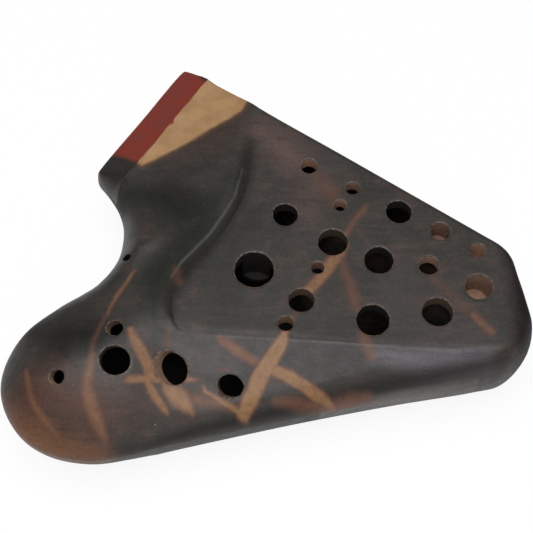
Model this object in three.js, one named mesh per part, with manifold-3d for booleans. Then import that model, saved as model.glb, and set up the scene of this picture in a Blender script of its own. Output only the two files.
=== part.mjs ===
// Triple ocarina of smoke-fired clay: three air chambers in one body, lying on its back.
// Millimetres. X runs along the body, Y towards the far edge, Z up through the finger holes.
// The origin is the middle of the space that the body fills, on the surface that it lies on.

import * as THREE from 'three';
import { mergeVertices } from 'three/addons/utils/BufferGeometryUtils.js';
import Module from 'manifold-3d';

const wasm = await Module();
wasm.setup();

// Overall sizes
const bodyLength = 185;
const bodyWidth = 158;
const partingHeight = 22;
const plateRise = 16;
const backDrop = 1;
const clayWall = 5;
const jointGap = 0.3;
const cutOverrun = 3;

// Mouthpiece and the faces of the front
const creaseRise = 13;
const neckRise = 6;
const neckRampLength = 41;
const bevelDepth = 13.5;
const tipFrontRise = 6.5;
const tipBackFall = 5.5;
const backRampStart = 30;
const backRampLength = 60;
const backRampSide = 30;
const neckExtension = 13;
const stepWidth = 6;
const ridgeRise = 1.4;
const ridgeWidth = 5;
const valleyDrop = 1.6;
const valleyWidth = 6.5;
const skirtFall = 9;
const skirtWideRun = 32;
const skirtNarrowRun = 8;
const lobeLift = 6;
const blendSize = 3;
const creaseSoftness = 0.8;
const lobeMiddleShare = 0.6;

// Windways and sound edges
const windwayWidth = 12.3;
const windwayHeight = 1.8;
const dividerWidth = 4;
const windwayLength = 38;
const roofThickness = 1.8;
const floorThickness = 2.2;
const windwayShift = -2;
const windowLength = 5;
const labiumRampLength = 12;
const labiumEdgeRise = 0.9;
const labiumFoot = 5;
const partitionThickness = 4;

// Glaze coat on the lip
const glazeThickness = 0.5;

// Strap hole in the waist
const strapHoleDiameter = 3.2;
const strapPostDiameter = 9;

// Fineness of the surface
const outlineSteps = 104;
const gridStep = 9;
const ringDistances = [0.5, 1.6, 3.2, 5.2];
const ringCloseShare = 0.9;
const holeSides = 14;
const arcDivisions = 2080;
const farPointShare = 20;

const halfLength = bodyLength / 2;
const halfWidth = bodyWidth / 2;
const plateHeight = partingHeight + plateRise;
const creaseHeight = partingHeight + creaseRise;
const tipFrontHeight = partingHeight + tipFrontRise;
const tipBackHeight = partingHeight - tipBackFall;

// Edge roundings, front and back, by the stretch of the outline
const rounding = {
  lip: [3, 4],
  waist: [10, 9],
  shoulder: [18, 14],
  lobe: [27, 24],
  skirt: [3.6, 16],
  corner: [5, 13],
  end: [6, 11],
  top: [3, 10],
};

// Outline at the widest plane, as shares of the half length and half width, with its rounding
const outlineShares = [
  [-0.266, 0.922, 'top'],
  [-0.361, 1.000, 'lip'],
  [-0.693, 0.408, 'lip'],
  [-0.640, 0.301, 'lip'],
  [-0.601, 0.232, 'waist'],
  [-0.578, 0.148, 'waist'],
  [-0.574, 0.048, 'waist'],
  [-0.592, -0.068, 'waist'],
  [-0.650, -0.176, 'waist'],
  [-0.725, -0.230, 'shoulder'],
  [-0.797, -0.283, 'shoulder'],
  [-0.921, -0.401, 'lobe'],
  [-0.985, -0.543, 'lobe'],
  [-1.000, -0.671, 'lobe'],
  [-0.971, -0.790, 'lobe'],
  [-0.900, -0.902, 'lobe'],
  [-0.795, -0.972, 'lobe'],
  [-0.648, -1.000, 'lobe'],
  [-0.520, -0.980, 'lobe'],
  [-0.409, -0.944, 'shoulder'],
  [-0.234, -0.897, 'skirt'],
  [0.118, -0.803, 'skirt'],
  [0.476, -0.718, 'skirt'],
  [0.794, -0.652, 'skirt'],
  [0.885, -0.622, 'corner'],
  [0.937, -0.576, 'corner'],
  [0.988, -0.490, 'corner'],
  [1.000, -0.418, 'end'],
  [0.988, -0.313, 'end'],
  [0.969, -0.200, 'end'],
  [0.945, -0.085, 'end'],
  [0.908, -0.025, 'top'],
  [0.832, 0.027, 'top'],
  [0.555, 0.252, 'top'],
  [0.281, 0.474, 'top'],
  [0.007, 0.694, 'top'],
];

// Step between the neck and the plate, then the crease down to the skirt, in the same shares
const plateRimShares = [
  [0.010, 0.950], [-0.040, 0.649], [-0.055, 0.497], [-0.063, 0.351], [-0.096, 0.181],
  [-0.137, 0.076], [-0.183, -0.018], [-0.238, -0.101], [-0.294, -0.173], [-0.337, -0.254],
  [-0.357, -0.340], [-0.351, -0.410], [-0.324, -0.478], [-0.245, -0.490], [0.242, -0.527],
  [0.702, -0.572], [1.150, -0.620],
];
const rimStepPointsShare = 0.75;
const ridgeShares = [[-0.585, -0.145], [-0.506, -0.085], [-0.431, -0.040], [-0.355, 0.025], [-0.225, 0.155]];
const valleyShares = [[-0.560, -0.300], [-0.430, -0.190], [-0.320, -0.075], [-0.230, 0.035], [-0.150, 0.190]];

// Inner walls between the chambers, from the windway block to the far end, in the same shares
const lowMiddleShares = [[0.013, -0.027], [0.092, -0.167], [0.161, -0.240], [0.405, -0.277],
  [0.622, -0.275], [0.784, -0.376], [1.050, -0.535]];
const middleHighShares = [[0.130, 0.228], [0.265, 0.073], [0.459, -0.005],
  [0.632, -0.072], [0.795, -0.163], [1.050, -0.255]];
const partitionSteps = 22;

// Holes of the front under the fingers, and of the back under the thumbs: places and diameters
const fingerHolePlaceShares = {
  high_1: [0.163, 0.362], high_2: [0.332, 0.242], high_3: [0.281, 0.151],
  high_4: [0.507, 0.116], high_5: [0.663, 0.015], high_6: [0.799, -0.084],
  middle_1: [0.067, 0.101], middle_2: [0.248, -0.042], middle_3: [0.421, -0.134],
  middle_4: [0.610, -0.160], middle_5: [0.188, -0.172], middle_6: [0.792, -0.267],
  low_1: [-0.052, -0.181], low_2: [0.125, -0.334], low_3: [0.630, -0.391],
  low_4: [0.389, -0.430], low_5: [0.066, -0.447], low_6: [-0.138, -0.714],
  low_7: [-0.357, -0.641], low_8: [-0.557, -0.629], low_9: [-0.563, -0.484],
  low_10: [-0.766, -0.695],
};
const fingerHoleDiameters = {
  high_1: 6.0, high_2: 5.1, high_3: 4.5, high_4: 9.2, high_5: 7.1, high_6: 5.6,
  middle_1: 9.0, middle_2: 10.5, middle_3: 10.4, middle_4: 7.2, middle_5: 4.7, middle_6: 9.6,
  low_1: 13.8, low_2: 9.0, low_3: 10.7, low_4: 11.5, low_5: 5.5, low_6: 8.8,
  low_7: 11.6, low_8: 10.2, low_9: 5.8, low_10: 5.2,
};
const thumbHolePlaceShares = {
  low_left: [-0.500, -0.620], low_right: [0.300, -0.480], middle: [0.300, -0.120], high: [0.400, 0.205],
};
const thumbHoleDiameters = { low_left: 9, low_right: 9, middle: 8, high: 7 };
const strapHolePlaceShares = [-0.549, -0.105];

const clay = { color: 0x37302f, roughness: 0.42, metalness: 0 };
const innerClay = { color: 0xa97f5f, roughness: 0.9, metalness: 0 };
const glaze = { color: 0x7a2b1c, roughness: 0.25, metalness: 0 };

const place = ([x, y]) => new THREE.Vector2(x * halfLength, y * halfWidth);
const clamp01 = (value) => Math.min(1, Math.max(0, value));
const smooth = (start, end, value) => {
  const share = clamp01((value - start) / (end - start));
  return share * share * (3 - 2 * share);
};
const quarterRound = (distance, radius) => Math.sqrt(1 - (1 - clamp01(distance / radius)) ** 2);
const softMin = (a, b, size) => {
  const share = clamp01(0.5 + (b - a) / (2 * size));
  return b + (a - b) * share - size * share * (1 - share);
};

// Frame of the mouthpiece: its middle, the way along the lip and the way that the air runs
const tipHigh = place(outlineShares[1]);
const tipLow = place(outlineShares[2]);
const tipMiddle = tipHigh.clone().add(tipLow).multiplyScalar(0.5);
const acrossLip = tipHigh.clone().sub(tipLow).normalize();
const alongAir = new THREE.Vector2(acrossLip.y, -acrossLip.x);
const tipWidth = tipHigh.distanceTo(tipLow);
const airDistance = (x, y) => (x - tipMiddle.x) * alongAir.x + (y - tipMiddle.y) * alongAir.y;

// Outline samples, each with its place, inward normal and edge roundings
function sampleOutline() {
  const names = outlineShares.map((row) => row[2]);
  const points = outlineShares.map((row) => place(row));
  const beyond = alongAir.clone().multiplyScalar(-neckExtension);
  points.splice(2, 0, tipHigh.clone().add(beyond), tipLow.clone().add(beyond));
  names.splice(2, 0, 'lip', 'lip');
  const curve = new THREE.CatmullRomCurve3(
    points.map((point) => new THREE.Vector3(point.x, point.y, 0)), true, 'centripetal');
  curve.arcLengthDivisions = arcDivisions;
  const samples = [];
  for (let index = 0; index < outlineSteps; index += 1) {
    const share = index / outlineSteps;
    const spot = curve.getPointAt(share);
    const tangent = curve.getTangentAt(share);
    const along = curve.getUtoTmapping(share) * points.length;
    const from = Math.floor(along) % points.length;
    const between = along - Math.floor(along);
    const [frontA, backA] = rounding[names[from]];
    const [frontB, backB] = rounding[names[(from + 1) % points.length]];
    samples.push({
      x: spot.x,
      y: spot.y,
      inward: new THREE.Vector2(-tangent.y, tangent.x),
      front: THREE.MathUtils.lerp(frontA, frontB, between),
      back: THREE.MathUtils.lerp(backA, backB, between),
    });
  }
  return samples;
}
const outline = sampleOutline();

// Nearest place on a run of points: its distance, the side it lies on and how far along it is
function nearestOnRun(run, x, y, closed) {
  const best = { distance: Infinity, side: 1, along: 0 };
  const last = closed ? run.length : run.length - 1;
  for (let index = 0; index < last; index += 1) {
    const start = run[index];
    const end = run[(index + 1) % run.length];
    const dx = end.x - start.x;
    const dy = end.y - start.y;
    const share = clamp01(((x - start.x) * dx + (y - start.y) * dy) / (dx * dx + dy * dy));
    const offX = x - start.x - share * dx;
    const offY = y - start.y - share * dy;
    const distance = Math.hypot(offX, offY);
    if (distance < best.distance) {
      best.distance = distance;
      best.side = Math.sign(dx * offY - dy * offX) || 1;
      best.along = index + share;
    }
  }
  return best;
}

function edgeAt(x, y) {
  const near = nearestOnRun(outline, x, y, true);
  const from = outline[Math.floor(near.along) % outline.length];
  const to = outline[(Math.floor(near.along) + 1) % outline.length];
  const between = near.along - Math.floor(near.along);
  return {
    distance: near.distance * near.side,
    front: THREE.MathUtils.lerp(from.front, to.front, between),
    back: THREE.MathUtils.lerp(from.back, to.back, between),
  };
}

// Heights of the front before its edges are rounded
const plateRim = plateRimShares.map(place);
const ridgeLine = ridgeShares.map(place);
const valleyLine = valleyShares.map(place);
const rimStepEnd = Math.floor((plateRim.length - 1) * rimStepPointsShare);

function swell(run, x, y, width) {
  const near = nearestOnRun(run, x, y, false);
  const reach = Math.sin(Math.PI * clamp01((near.along + 0.5) / run.length));
  return reach * Math.exp(-((near.distance / width) ** 2));
}

function crownHeight(x, y) {
  const neck = creaseHeight + neckRise * smooth(0, neckRampLength, airDistance(x, y) - bevelDepth)
    + ridgeRise * swell(ridgeLine, x, y, ridgeWidth)
    - valleyDrop * swell(valleyLine, x, y, valleyWidth);
  const rimCorner = plateRim[rimStepEnd];
  const rimFar = plateRim[plateRim.length - 1];
  const across = clamp01((x - rimCorner.x) / (rimFar.x - rimCorner.x));
  const fallRun = THREE.MathUtils.lerp(skirtWideRun, skirtNarrowRun, across);
  const rimLine = THREE.MathUtils.lerp(rimCorner.y, rimFar.y, (x - rimCorner.x) / (rimFar.x - rimCorner.x));
  const lift = lobeLift * smooth(rimCorner.x, -halfLength * lobeMiddleShare, x);
  const fallen = plateHeight + lift - skirtFall * (rimLine - y) / fallRun;
  const skirt = Math.max(fallen, partingHeight + clayWall);
  const near = nearestOnRun(plateRim, x, y, false);
  if (near.side > 0) return softMin(plateHeight, skirt, creaseSoftness);
  const away = smooth(0, stepWidth, near.distance);
  const softness = THREE.MathUtils.lerp(creaseSoftness, blendSize, away);
  return softMin(THREE.MathUtils.lerp(plateHeight, neck, away), skirt, softness);
}

// Height of the back before its edges are rounded: hollowed towards the mouthpiece
function backHeight(x, y) {
  const side = (x - tipMiddle.x) * acrossLip.x + (y - tipMiddle.y) * acrossLip.y;
  const along = smooth(backRampStart + backRampLength, backRampStart, airDistance(x, y));
  return THREE.MathUtils.lerp(-backDrop, tipBackHeight, along * smooth(-2 * backRampSide, -backRampSide, side));
}

// Height of the front or the back surface, drawn in from the outside by an inset
function frontSurface(x, y, inset) {
  const edge = edgeAt(x, y);
  const rise = crownHeight(x, y) - inset - partingHeight;
  const radius = Math.max(edge.front - inset, clayWall / 2);
  return partingHeight + rise * quarterRound(edge.distance - inset, radius);
}
function backSurface(x, y, inset) {
  const edge = edgeAt(x, y);
  const drop = partingHeight - backHeight(x, y) - inset;
  const radius = Math.max(edge.back - inset, clayWall / 2);
  return partingHeight - drop * quarterRound(edge.distance - inset, radius);
}

// Solids from points and triangles, and from three.js shapes
function solidFromMesh(vertProperties, triVerts) {
  return new wasm.Manifold(new wasm.Mesh({
    numProp: 3,
    vertProperties: Float32Array.from(vertProperties),
    triVerts: Uint32Array.from(triVerts),
  }));
}
function solidFromGeometry(geometry) {
  geometry.deleteAttribute('normal');
  geometry.deleteAttribute('uv');
  const merged = mergeVertices(geometry);
  return solidFromMesh(merged.attributes.position.array, merged.index.array);
}
function prism(corners, bottom, top) {
  const geometry = new THREE.ExtrudeGeometry(
    new THREE.Shape(corners), { depth: top - bottom, bevelEnabled: false });
  return solidFromGeometry(geometry.translate(0, 0, bottom));
}
function rod(diameter, from, to, sides) {
  const axis = to.clone().sub(from);
  const geometry = new THREE.CylinderGeometry(diameter / 2, diameter / 2, axis.length(), sides);
  const turn = new THREE.Quaternion().setFromUnitVectors(
    new THREE.Vector3(0, 1, 0), axis.clone().normalize());
  geometry.applyQuaternion(turn);
  const middle = from.clone().add(to).multiplyScalar(0.5);
  return solidFromGeometry(geometry.translate(middle.x, middle.y, middle.z));
}

function insideRing(ring, x, y) {
  let inside = false;
  for (let index = 0, before = ring.length - 1; index < ring.length; before = index, index += 1) {
    const a = ring[index];
    const b = ring[before];
    if ((a.y > y) !== (b.y > y) && x < a.x + ((b.x - a.x) * (y - a.y)) / (b.y - a.y)) inside = !inside;
  }
  return inside;
}

// Triangles over scattered points, each with no other point in its circle
function triangulate(points) {
  const reach = farPointShare * bodyLength;
  const all = [...points, { x: -reach, y: -reach }, { x: reach, y: -reach }, { x: 0, y: reach }];
  const circle = (a, b, c) => {
    const [p, q, r] = [all[a], all[b], all[c]];
    const bend = 2 * (p.x * (q.y - r.y) + q.x * (r.y - p.y) + r.x * (p.y - q.y));
    const [pp, qq, rr] = [p, q, r].map((spot) => spot.x ** 2 + spot.y ** 2);
    const x = (pp * (q.y - r.y) + qq * (r.y - p.y) + rr * (p.y - q.y)) / bend;
    const y = (pp * (r.x - q.x) + qq * (p.x - r.x) + rr * (q.x - p.x)) / bend;
    return { corners: [a, b, c], x, y, reach: (p.x - x) ** 2 + (p.y - y) ** 2 };
  };
  let faces = [circle(points.length, points.length + 1, points.length + 2)];
  points.forEach((point, index) => {
    const edges = new Map();
    faces = faces.filter((face) => {
      if ((point.x - face.x) ** 2 + (point.y - face.y) ** 2 > face.reach) return true;
      face.corners.forEach((corner, side) => {
        const next = face.corners[(side + 1) % 3];
        const twin = `${next} ${corner}`;
        if (edges.has(twin)) edges.delete(twin);
        else edges.set(`${corner} ${next}`, [corner, next]);
      });
      return false;
    });
    edges.forEach(([corner, next]) => faces.push(circle(corner, next, index)));
  });
  return faces.map((face) => face.corners).filter((corners) => Math.max(...corners) < points.length);
}

// Closed body between the front and the back surface, drawn in by an inset
function lensBody(inset) {
  const ringAt = (distance) => outline.map((sample) => ({
    x: sample.x + sample.inward.x * distance,
    y: sample.y + sample.inward.y * distance,
  })).filter(({ x, y }) => edgeAt(x, y).distance >= distance * ringCloseShare);
  const rings = [0, ...ringDistances].map((distance) => ringAt(inset + distance));
  const border = rings[0];
  const innerDistance = inset + ringDistances[ringDistances.length - 1];
  const spots = rings.flat();
  const rowStep = gridStep * Math.sqrt(3) / 2;
  const rows = Math.ceil(bodyWidth / rowStep);
  const columns = Math.ceil(bodyLength / gridStep) + 1;
  for (let row = 0; row <= rows; row += 1) {
    for (let column = 0; column <= columns; column += 1) {
      const x = -halfLength + (column - (row % 2) / 2) * gridStep;
      const y = -halfWidth + row * rowStep;
      if (edgeAt(x, y).distance > innerDistance + gridStep / 2) spots.push({ x, y });
    }
  }
  const flat = triangulate(spots).filter((corners) => {
    const x = corners.reduce((sum, corner) => sum + spots[corner].x / 3, 0);
    const y = corners.reduce((sum, corner) => sum + spots[corner].y / 3, 0);
    return insideRing(border, x, y);
  });
  const vertices = [];
  spots.forEach(({ x, y }, index) => {
    vertices.push(x, y, index < border.length ? partingHeight : frontSurface(x, y, inset));
  });
  spots.slice(border.length).forEach(({ x, y }) => vertices.push(x, y, backSurface(x, y, inset)));
  const below = (index) => (index < border.length ? index : index + spots.length - border.length);
  const triangles = flat.flat();
  flat.forEach(([a, b, c]) => triangles.push(below(a), below(c), below(b)));
  return solidFromMesh(vertices, triangles);
}

// Points and blocks in the frame of the mouthpiece: how far along the air, how far across the lip
const mouthPoint = (along, across) => tipMiddle.clone()
  .addScaledVector(alongAir, along).addScaledVector(acrossLip, across);
const mouthBlock = (along, across, heights) => prism([
  mouthPoint(along[0], across[1]), mouthPoint(along[0], across[0]),
  mouthPoint(along[1], across[0]), mouthPoint(along[1], across[1])], ...heights);

// A side profile, of pairs along the air and up, carried across the lip
function profileBlock(profile, across) {
  const shape = new THREE.Shape(profile.map(([along, height]) => new THREE.Vector2(along, height)));
  const geometry = new THREE.ExtrudeGeometry(shape, { depth: across[1] - across[0], bevelEnabled: false });
  const start = mouthPoint(0, across[1]);
  geometry.applyMatrix4(new THREE.Matrix4().makeBasis(
    new THREE.Vector3(alongAir.x, alongAir.y, 0),
    new THREE.Vector3(0, 0, 1),
    new THREE.Vector3(-acrossLip.x, -acrossLip.y, 0)).setPosition(start.x, start.y, 0));
  return solidFromGeometry(geometry);
}

const airBottom = partingHeight;
const airTop = airBottom + windwayHeight;
const blockSpan = 3 * windwayWidth + 2 * dividerWidth;
const blockSides = [windwayShift - blockSpan / 2, windwayShift + blockSpan / 2];
const windwaySides = [0, 1, 2].map((index) => {
  const start = blockSides[0] + index * (windwayWidth + dividerWidth);
  return [start, start + windwayWidth];
});
const windowEnd = windwayLength + windowLength;
const rampEnd = windowEnd + labiumRampLength;
const lipReach = tipWidth / 2 + neckExtension;
const overTop = plateHeight + bodyWidth / 2;

// The outside: the rounded body, trimmed flat where it rests, at the lip and at the bevel
const bevelSlope = (creaseHeight - tipFrontHeight) / bevelDepth;
const bevelPlane = (along, drop) => tipFrontHeight + bevelSlope * along - drop * Math.hypot(1, bevelSlope);
function bevelCutter(drop, end) {
  const start = -neckExtension;
  return profileBlock([
    [start, bevelPlane(start, drop)], [end, bevelPlane(end, drop)], [end, overTop], [start, overTop],
  ], [-lipReach, lipReach]);
}
function outsideBody() {
  const behindLip = mouthBlock([-2 * neckExtension, 0], [-lipReach, lipReach], [-cutOverrun, overTop]);
  const floorTrim = prism([[-1, -1], [1, -1], [1, 1], [-1, 1]].map(([x, y]) => (
    new THREE.Vector2(x * bodyLength, y * bodyWidth))), -backDrop - cutOverrun, 0);
  return lensBody(0).subtract(behindLip).subtract(floorTrim)
    .subtract(bevelCutter(0, bevelDepth + neckExtension));
}

// The air chambers as one space: behind the windway block, clear of the post round the strap hole
const strapHolePlace = place(strapHolePlaceShares);
const upright = (point, diameter, bottom, top) => rod(diameter,
  new THREE.Vector3(point.x, point.y, bottom), new THREE.Vector3(point.x, point.y, top), holeSides);
function chamberSpace(extraGap) {
  const block = mouthBlock([-2 * neckExtension, windwayLength + extraGap],
    [blockSides[0] - clayWall - extraGap, lipReach], [-cutOverrun, overTop]);
  const post = upright(strapHolePlace, strapPostDiameter + 2 * extraGap, -cutOverrun, overTop);
  return lensBody(clayWall + extraGap).subtract(block).subtract(post);
}

// Finger holes, each square to the surface that it pierces
function fingerHole(name) {
  const { x, y } = place(fingerHolePlaceShares[name]);
  const diameter = fingerHoleDiameters[name];
  const probe = diameter / 2;
  const height = frontSurface(x, y, 0);
  const normal = new THREE.Vector3(
    (frontSurface(x - probe, y, 0) - frontSurface(x + probe, y, 0)) / (2 * probe),
    (frontSurface(x, y - probe, 0) - frontSurface(x, y + probe, 0)) / (2 * probe), 1).normalize();
  const mouth = new THREE.Vector3(x, y, height);
  return rod(diameter, mouth.clone().addScaledVector(normal, -clayWall - cutOverrun),
    mouth.clone().addScaledVector(normal, cutOverrun + diameter / 2), holeSides);
}
function thumbHole(name) {
  return upright(place(thumbHolePlaceShares[name]), thumbHoleDiameters[name],
    -cutOverrun, clayWall + cutOverrun);
}
const windowOpening = (sides) => mouthBlock(
  [windwayLength, rampEnd], sides, [-cutOverrun, airTop]);

const halfSpace = (bottom, top) => prism([[-1, -1], [1, -1], [1, 1], [-1, 1]].map(([x, y]) => (
  new THREE.Vector2(x * bodyLength, y * bodyWidth))), bottom, top);

// The shells before they part: chambers, windway block, windows and strap hole cut from the outside
const outside = outsideBody();
const windwayPocket = mouthBlock([-cutOverrun, windwayLength + jointGap],
  [blockSides[0] - jointGap, blockSides[1] + jointGap],
  [airBottom - floorThickness - jointGap, airTop + roofThickness + jointGap]);
const hollowBody = windwaySides.reduce((solid, sides) => solid.subtract(windowOpening(sides)),
  outside.subtract(chamberSpace(0)).subtract(windwayPocket)
    .subtract(upright(strapHolePlace, strapHoleDiameter, -cutOverrun, overTop)));

function frontShell() {
  const shell = hollowBody.intersect(halfSpace(partingHeight, overTop))
    .subtract(bevelCutter(glazeThickness + jointGap, bevelDepth));
  return Object.keys(fingerHoleDiameters).reduce((solid, name) => solid.subtract(fingerHole(name)), shell);
}
function backShell() {
  const shell = hollowBody.intersect(halfSpace(-cutOverrun, partingHeight));
  return Object.keys(thumbHoleDiameters).reduce((solid, name) => solid.subtract(thumbHole(name)), shell);
}

// An inner wall that starts at its windway divider and follows a curve to the far end
function partition(shares, dividerIndex) {
  const across = windwaySides[dividerIndex][1] + dividerWidth / 2;
  const straight = [windwayLength, (windwayLength + rampEnd) / 2, rampEnd];
  const path = [...straight.map((along) => mouthPoint(along, across)), ...shares.map(place)];
  const curve = new THREE.CatmullRomCurve3(
    path.map((point) => new THREE.Vector3(point.x, point.y, 0)), false, 'centripetal');
  const sideAt = (offset) => Array.from({ length: partitionSteps + 1 }, (_, step) => {
    const spot = curve.getPointAt(step / partitionSteps);
    const tangent = curve.getTangentAt(step / partitionSteps);
    return new THREE.Vector2(spot.x - tangent.y * offset, spot.y + tangent.x * offset);
  });
  const corners = [...sideAt(-partitionThickness / 2), ...sideAt(partitionThickness / 2).reverse()];
  return prism(corners, -cutOverrun, overTop).intersect(chamberSpace(jointGap));
}

const windwaySlab = (heights) => mouthBlock([0, windwayLength], blockSides, heights);
const windwayDivider = (index) => mouthBlock([0, windwayLength],
  [windwaySides[index][1], windwaySides[index + 1][0]], [airBottom, airTop]);

// A sound edge: a wedge whose ramp runs from the window down to the back of the body
function labium(sides) {
  const middle = (sides[0] + sides[1]) / 2;
  const end = rampEnd - jointGap;
  const footPlace = mouthPoint(end, middle);
  const foot = backSurface(footPlace.x, footPlace.y, 0);
  const edge = airBottom + labiumEdgeRise;
  return profileBlock([[windowEnd, edge], [end, foot], [end, foot + labiumFoot]],
    [sides[0] + 2 * jointGap, sides[1] - 2 * jointGap]);
}

function lipGlaze() {
  const coat = bevelCutter(glazeThickness, bevelDepth - jointGap);
  return outside.intersect(coat);
}

function meshOf(name, solid, look) {
  const { vertProperties, triVerts } = solid.getMesh();
  const geometry = new THREE.BufferGeometry();
  geometry.setAttribute('position', new THREE.BufferAttribute(vertProperties, 3));
  geometry.setIndex(new THREE.BufferAttribute(triVerts, 1));
  geometry.computeVertexNormals();
  const mesh = new THREE.Mesh(geometry, new THREE.MeshStandardMaterial(look));
  mesh.name = name;
  return mesh;
}

const ocarina = new THREE.Group();
ocarina.add(
  meshOf('front_shell', frontShell(), clay),
  meshOf('back_shell', backShell(), clay),
  meshOf('low_middle_partition', partition(lowMiddleShares, 0), innerClay),
  meshOf('middle_high_partition', partition(middleHighShares, 1), innerClay),
  meshOf('windway_floor', windwaySlab([airBottom - floorThickness, airBottom]), innerClay),
  meshOf('windway_roof', windwaySlab([airTop, airTop + roofThickness]), innerClay),
  meshOf('low_middle_windway_divider', windwayDivider(0), innerClay),
  meshOf('middle_high_windway_divider', windwayDivider(1), innerClay),
  meshOf('low_labium', labium(windwaySides[0]), innerClay),
  meshOf('middle_labium', labium(windwaySides[1]), innerClay),
  meshOf('high_labium', labium(windwaySides[2]), innerClay),
  meshOf('lip_glaze', lipGlaze(), glaze),
);

export default ocarina;
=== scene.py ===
"""Fine shells and fired finish of a clay triple ocarina, seen as it lies on its back."""

import math

import bpy
import numpy as np
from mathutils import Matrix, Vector
from mathutils.geometry import delaunay_2d_cdt


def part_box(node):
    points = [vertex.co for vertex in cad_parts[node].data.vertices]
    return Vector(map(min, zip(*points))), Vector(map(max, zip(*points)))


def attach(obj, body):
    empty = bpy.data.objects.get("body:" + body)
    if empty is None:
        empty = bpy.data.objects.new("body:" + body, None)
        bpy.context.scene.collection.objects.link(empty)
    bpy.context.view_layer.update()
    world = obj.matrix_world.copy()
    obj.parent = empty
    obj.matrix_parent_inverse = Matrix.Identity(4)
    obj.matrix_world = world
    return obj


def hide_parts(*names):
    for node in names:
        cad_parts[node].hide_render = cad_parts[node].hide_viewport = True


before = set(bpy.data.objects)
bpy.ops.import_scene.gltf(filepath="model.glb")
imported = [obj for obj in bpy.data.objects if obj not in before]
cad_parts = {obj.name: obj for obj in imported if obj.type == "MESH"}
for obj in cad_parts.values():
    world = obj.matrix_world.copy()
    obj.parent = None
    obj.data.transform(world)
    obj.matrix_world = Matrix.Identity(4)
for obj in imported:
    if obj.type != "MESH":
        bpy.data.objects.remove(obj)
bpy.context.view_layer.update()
mm = 0.001

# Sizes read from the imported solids
shell_low, shell_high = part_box("front_shell")
half_length = (shell_high.x - shell_low.x) / 2
half_width = (shell_high.y - shell_low.y) / 2
parting = shell_low.z
floor_low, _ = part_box("windway_floor")
roof_low, roof_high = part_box("windway_roof")

# Heights and walls of the clay
plate_height = parting + 16 * mm
crease_height = parting + 13 * mm
tip_front_height = parting + 6.5 * mm
tip_back_height = parting - 5.5 * mm
clay_wall = 5 * mm
bevel_depth = 13.5 * mm
neck_rise = 6 * mm
neck_ramp = 41 * mm
step_width = 6 * mm
ridge_rise = 1.0 * mm
ridge_width = 4 * mm
valley_drop = 0.9 * mm
valley_width = 6 * mm
skirt_fall = 9 * mm
skirt_wide_run = 32 * mm
skirt_narrow_run = 8 * mm
lobe_lift = 6 * mm
blend_size = 3 * mm
back_ramp_start = 30 * mm
back_ramp_length = 60 * mm
back_ramp_side = 30 * mm
window_length = 5 * mm
labium_ramp = 12 * mm
strap_hole_diameter = 3.2 * mm
lip_softness = 0.35 * mm
crease_softness = 0.8 * mm
crisp_start_share = 0.42
crisp_end_share = 0.05

# Edge roundings, front and back, by the stretch of the outline
rounding = {
    "lip": (1.2 * mm, 2.0 * mm),
    "waist": (10 * mm, 9 * mm),
    "shoulder": (18 * mm, 14 * mm),
    "lobe": (27 * mm, 24 * mm),
    "skirt": (7.5 * mm, 16 * mm),
    "corner": (5.5 * mm, 13 * mm),
    "end": (4 * mm, 11 * mm),
    "top": (3 * mm, 10 * mm),
}

# Outline at the widest plane, as shares of the half length and half width
outline_shares = [
    (-0.266, 0.926, "lip"), (-0.332, 0.989, "lip"), (-0.348, 1.000, "lip"), (-0.363, 0.994, "lip"),
    (-0.526, 0.706, "lip"), (-0.684, 0.421, "lip"), (-0.691, 0.398, "lip"), (-0.681, 0.378, "lip"),
    (-0.633, 0.297, "waist"), (-0.601, 0.232, "waist"), (-0.578, 0.148, "waist"),
    (-0.574, 0.048, "waist"), (-0.592, -0.068, "waist"), (-0.650, -0.176, "waist"),
    (-0.725, -0.230, "shoulder"), (-0.797, -0.283, "shoulder"), (-0.921, -0.401, "lobe"),
    (-0.985, -0.543, "lobe"), (-1.000, -0.671, "lobe"), (-0.971, -0.790, "lobe"),
    (-0.900, -0.902, "lobe"), (-0.795, -0.972, "lobe"), (-0.648, -1.000, "lobe"),
    (-0.520, -0.980, "lobe"), (-0.409, -0.944, "shoulder"), (-0.234, -0.897, "skirt"),
    (0.118, -0.803, "skirt"), (0.476, -0.718, "skirt"), (0.794, -0.652, "skirt"),
    (0.885, -0.622, "corner"), (0.937, -0.576, "corner"), (0.988, -0.490, "corner"),
    (1.000, -0.418, "end"), (0.988, -0.313, "end"), (0.969, -0.200, "end"),
    (0.945, -0.085, "end"), (0.905, -0.034, "top"), (0.832, 0.027, "top"),
    (0.555, 0.252, "top"), (0.281, 0.474, "top"), (0.007, 0.694, "top"), (-0.200, 0.877, "top"),
]
tip_high_share = (-0.361, 1.000)
tip_low_share = (-0.693, 0.408)
plate_rim_shares = [
    (0.010, 0.950), (-0.040, 0.649), (-0.055, 0.497), (-0.063, 0.351), (-0.096, 0.181),
    (-0.137, 0.076), (-0.183, -0.018), (-0.238, -0.101), (-0.294, -0.173), (-0.337, -0.254),
    (-0.357, -0.340), (-0.351, -0.410), (-0.324, -0.478), (-0.245, -0.490), (0.242, -0.527),
    (0.702, -0.572), (1.150, -0.620),
]
rim_corner_index = 12
ridge_shares = [(-0.585, -0.145), (-0.506, -0.085), (-0.431, -0.040), (-0.355, 0.025), (-0.225, 0.155)]
valley_shares = [(-0.560, -0.300), (-0.430, -0.190), (-0.320, -0.075), (-0.230, 0.035), (-0.150, 0.190)]
lobe_middle_share = 0.6

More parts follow.
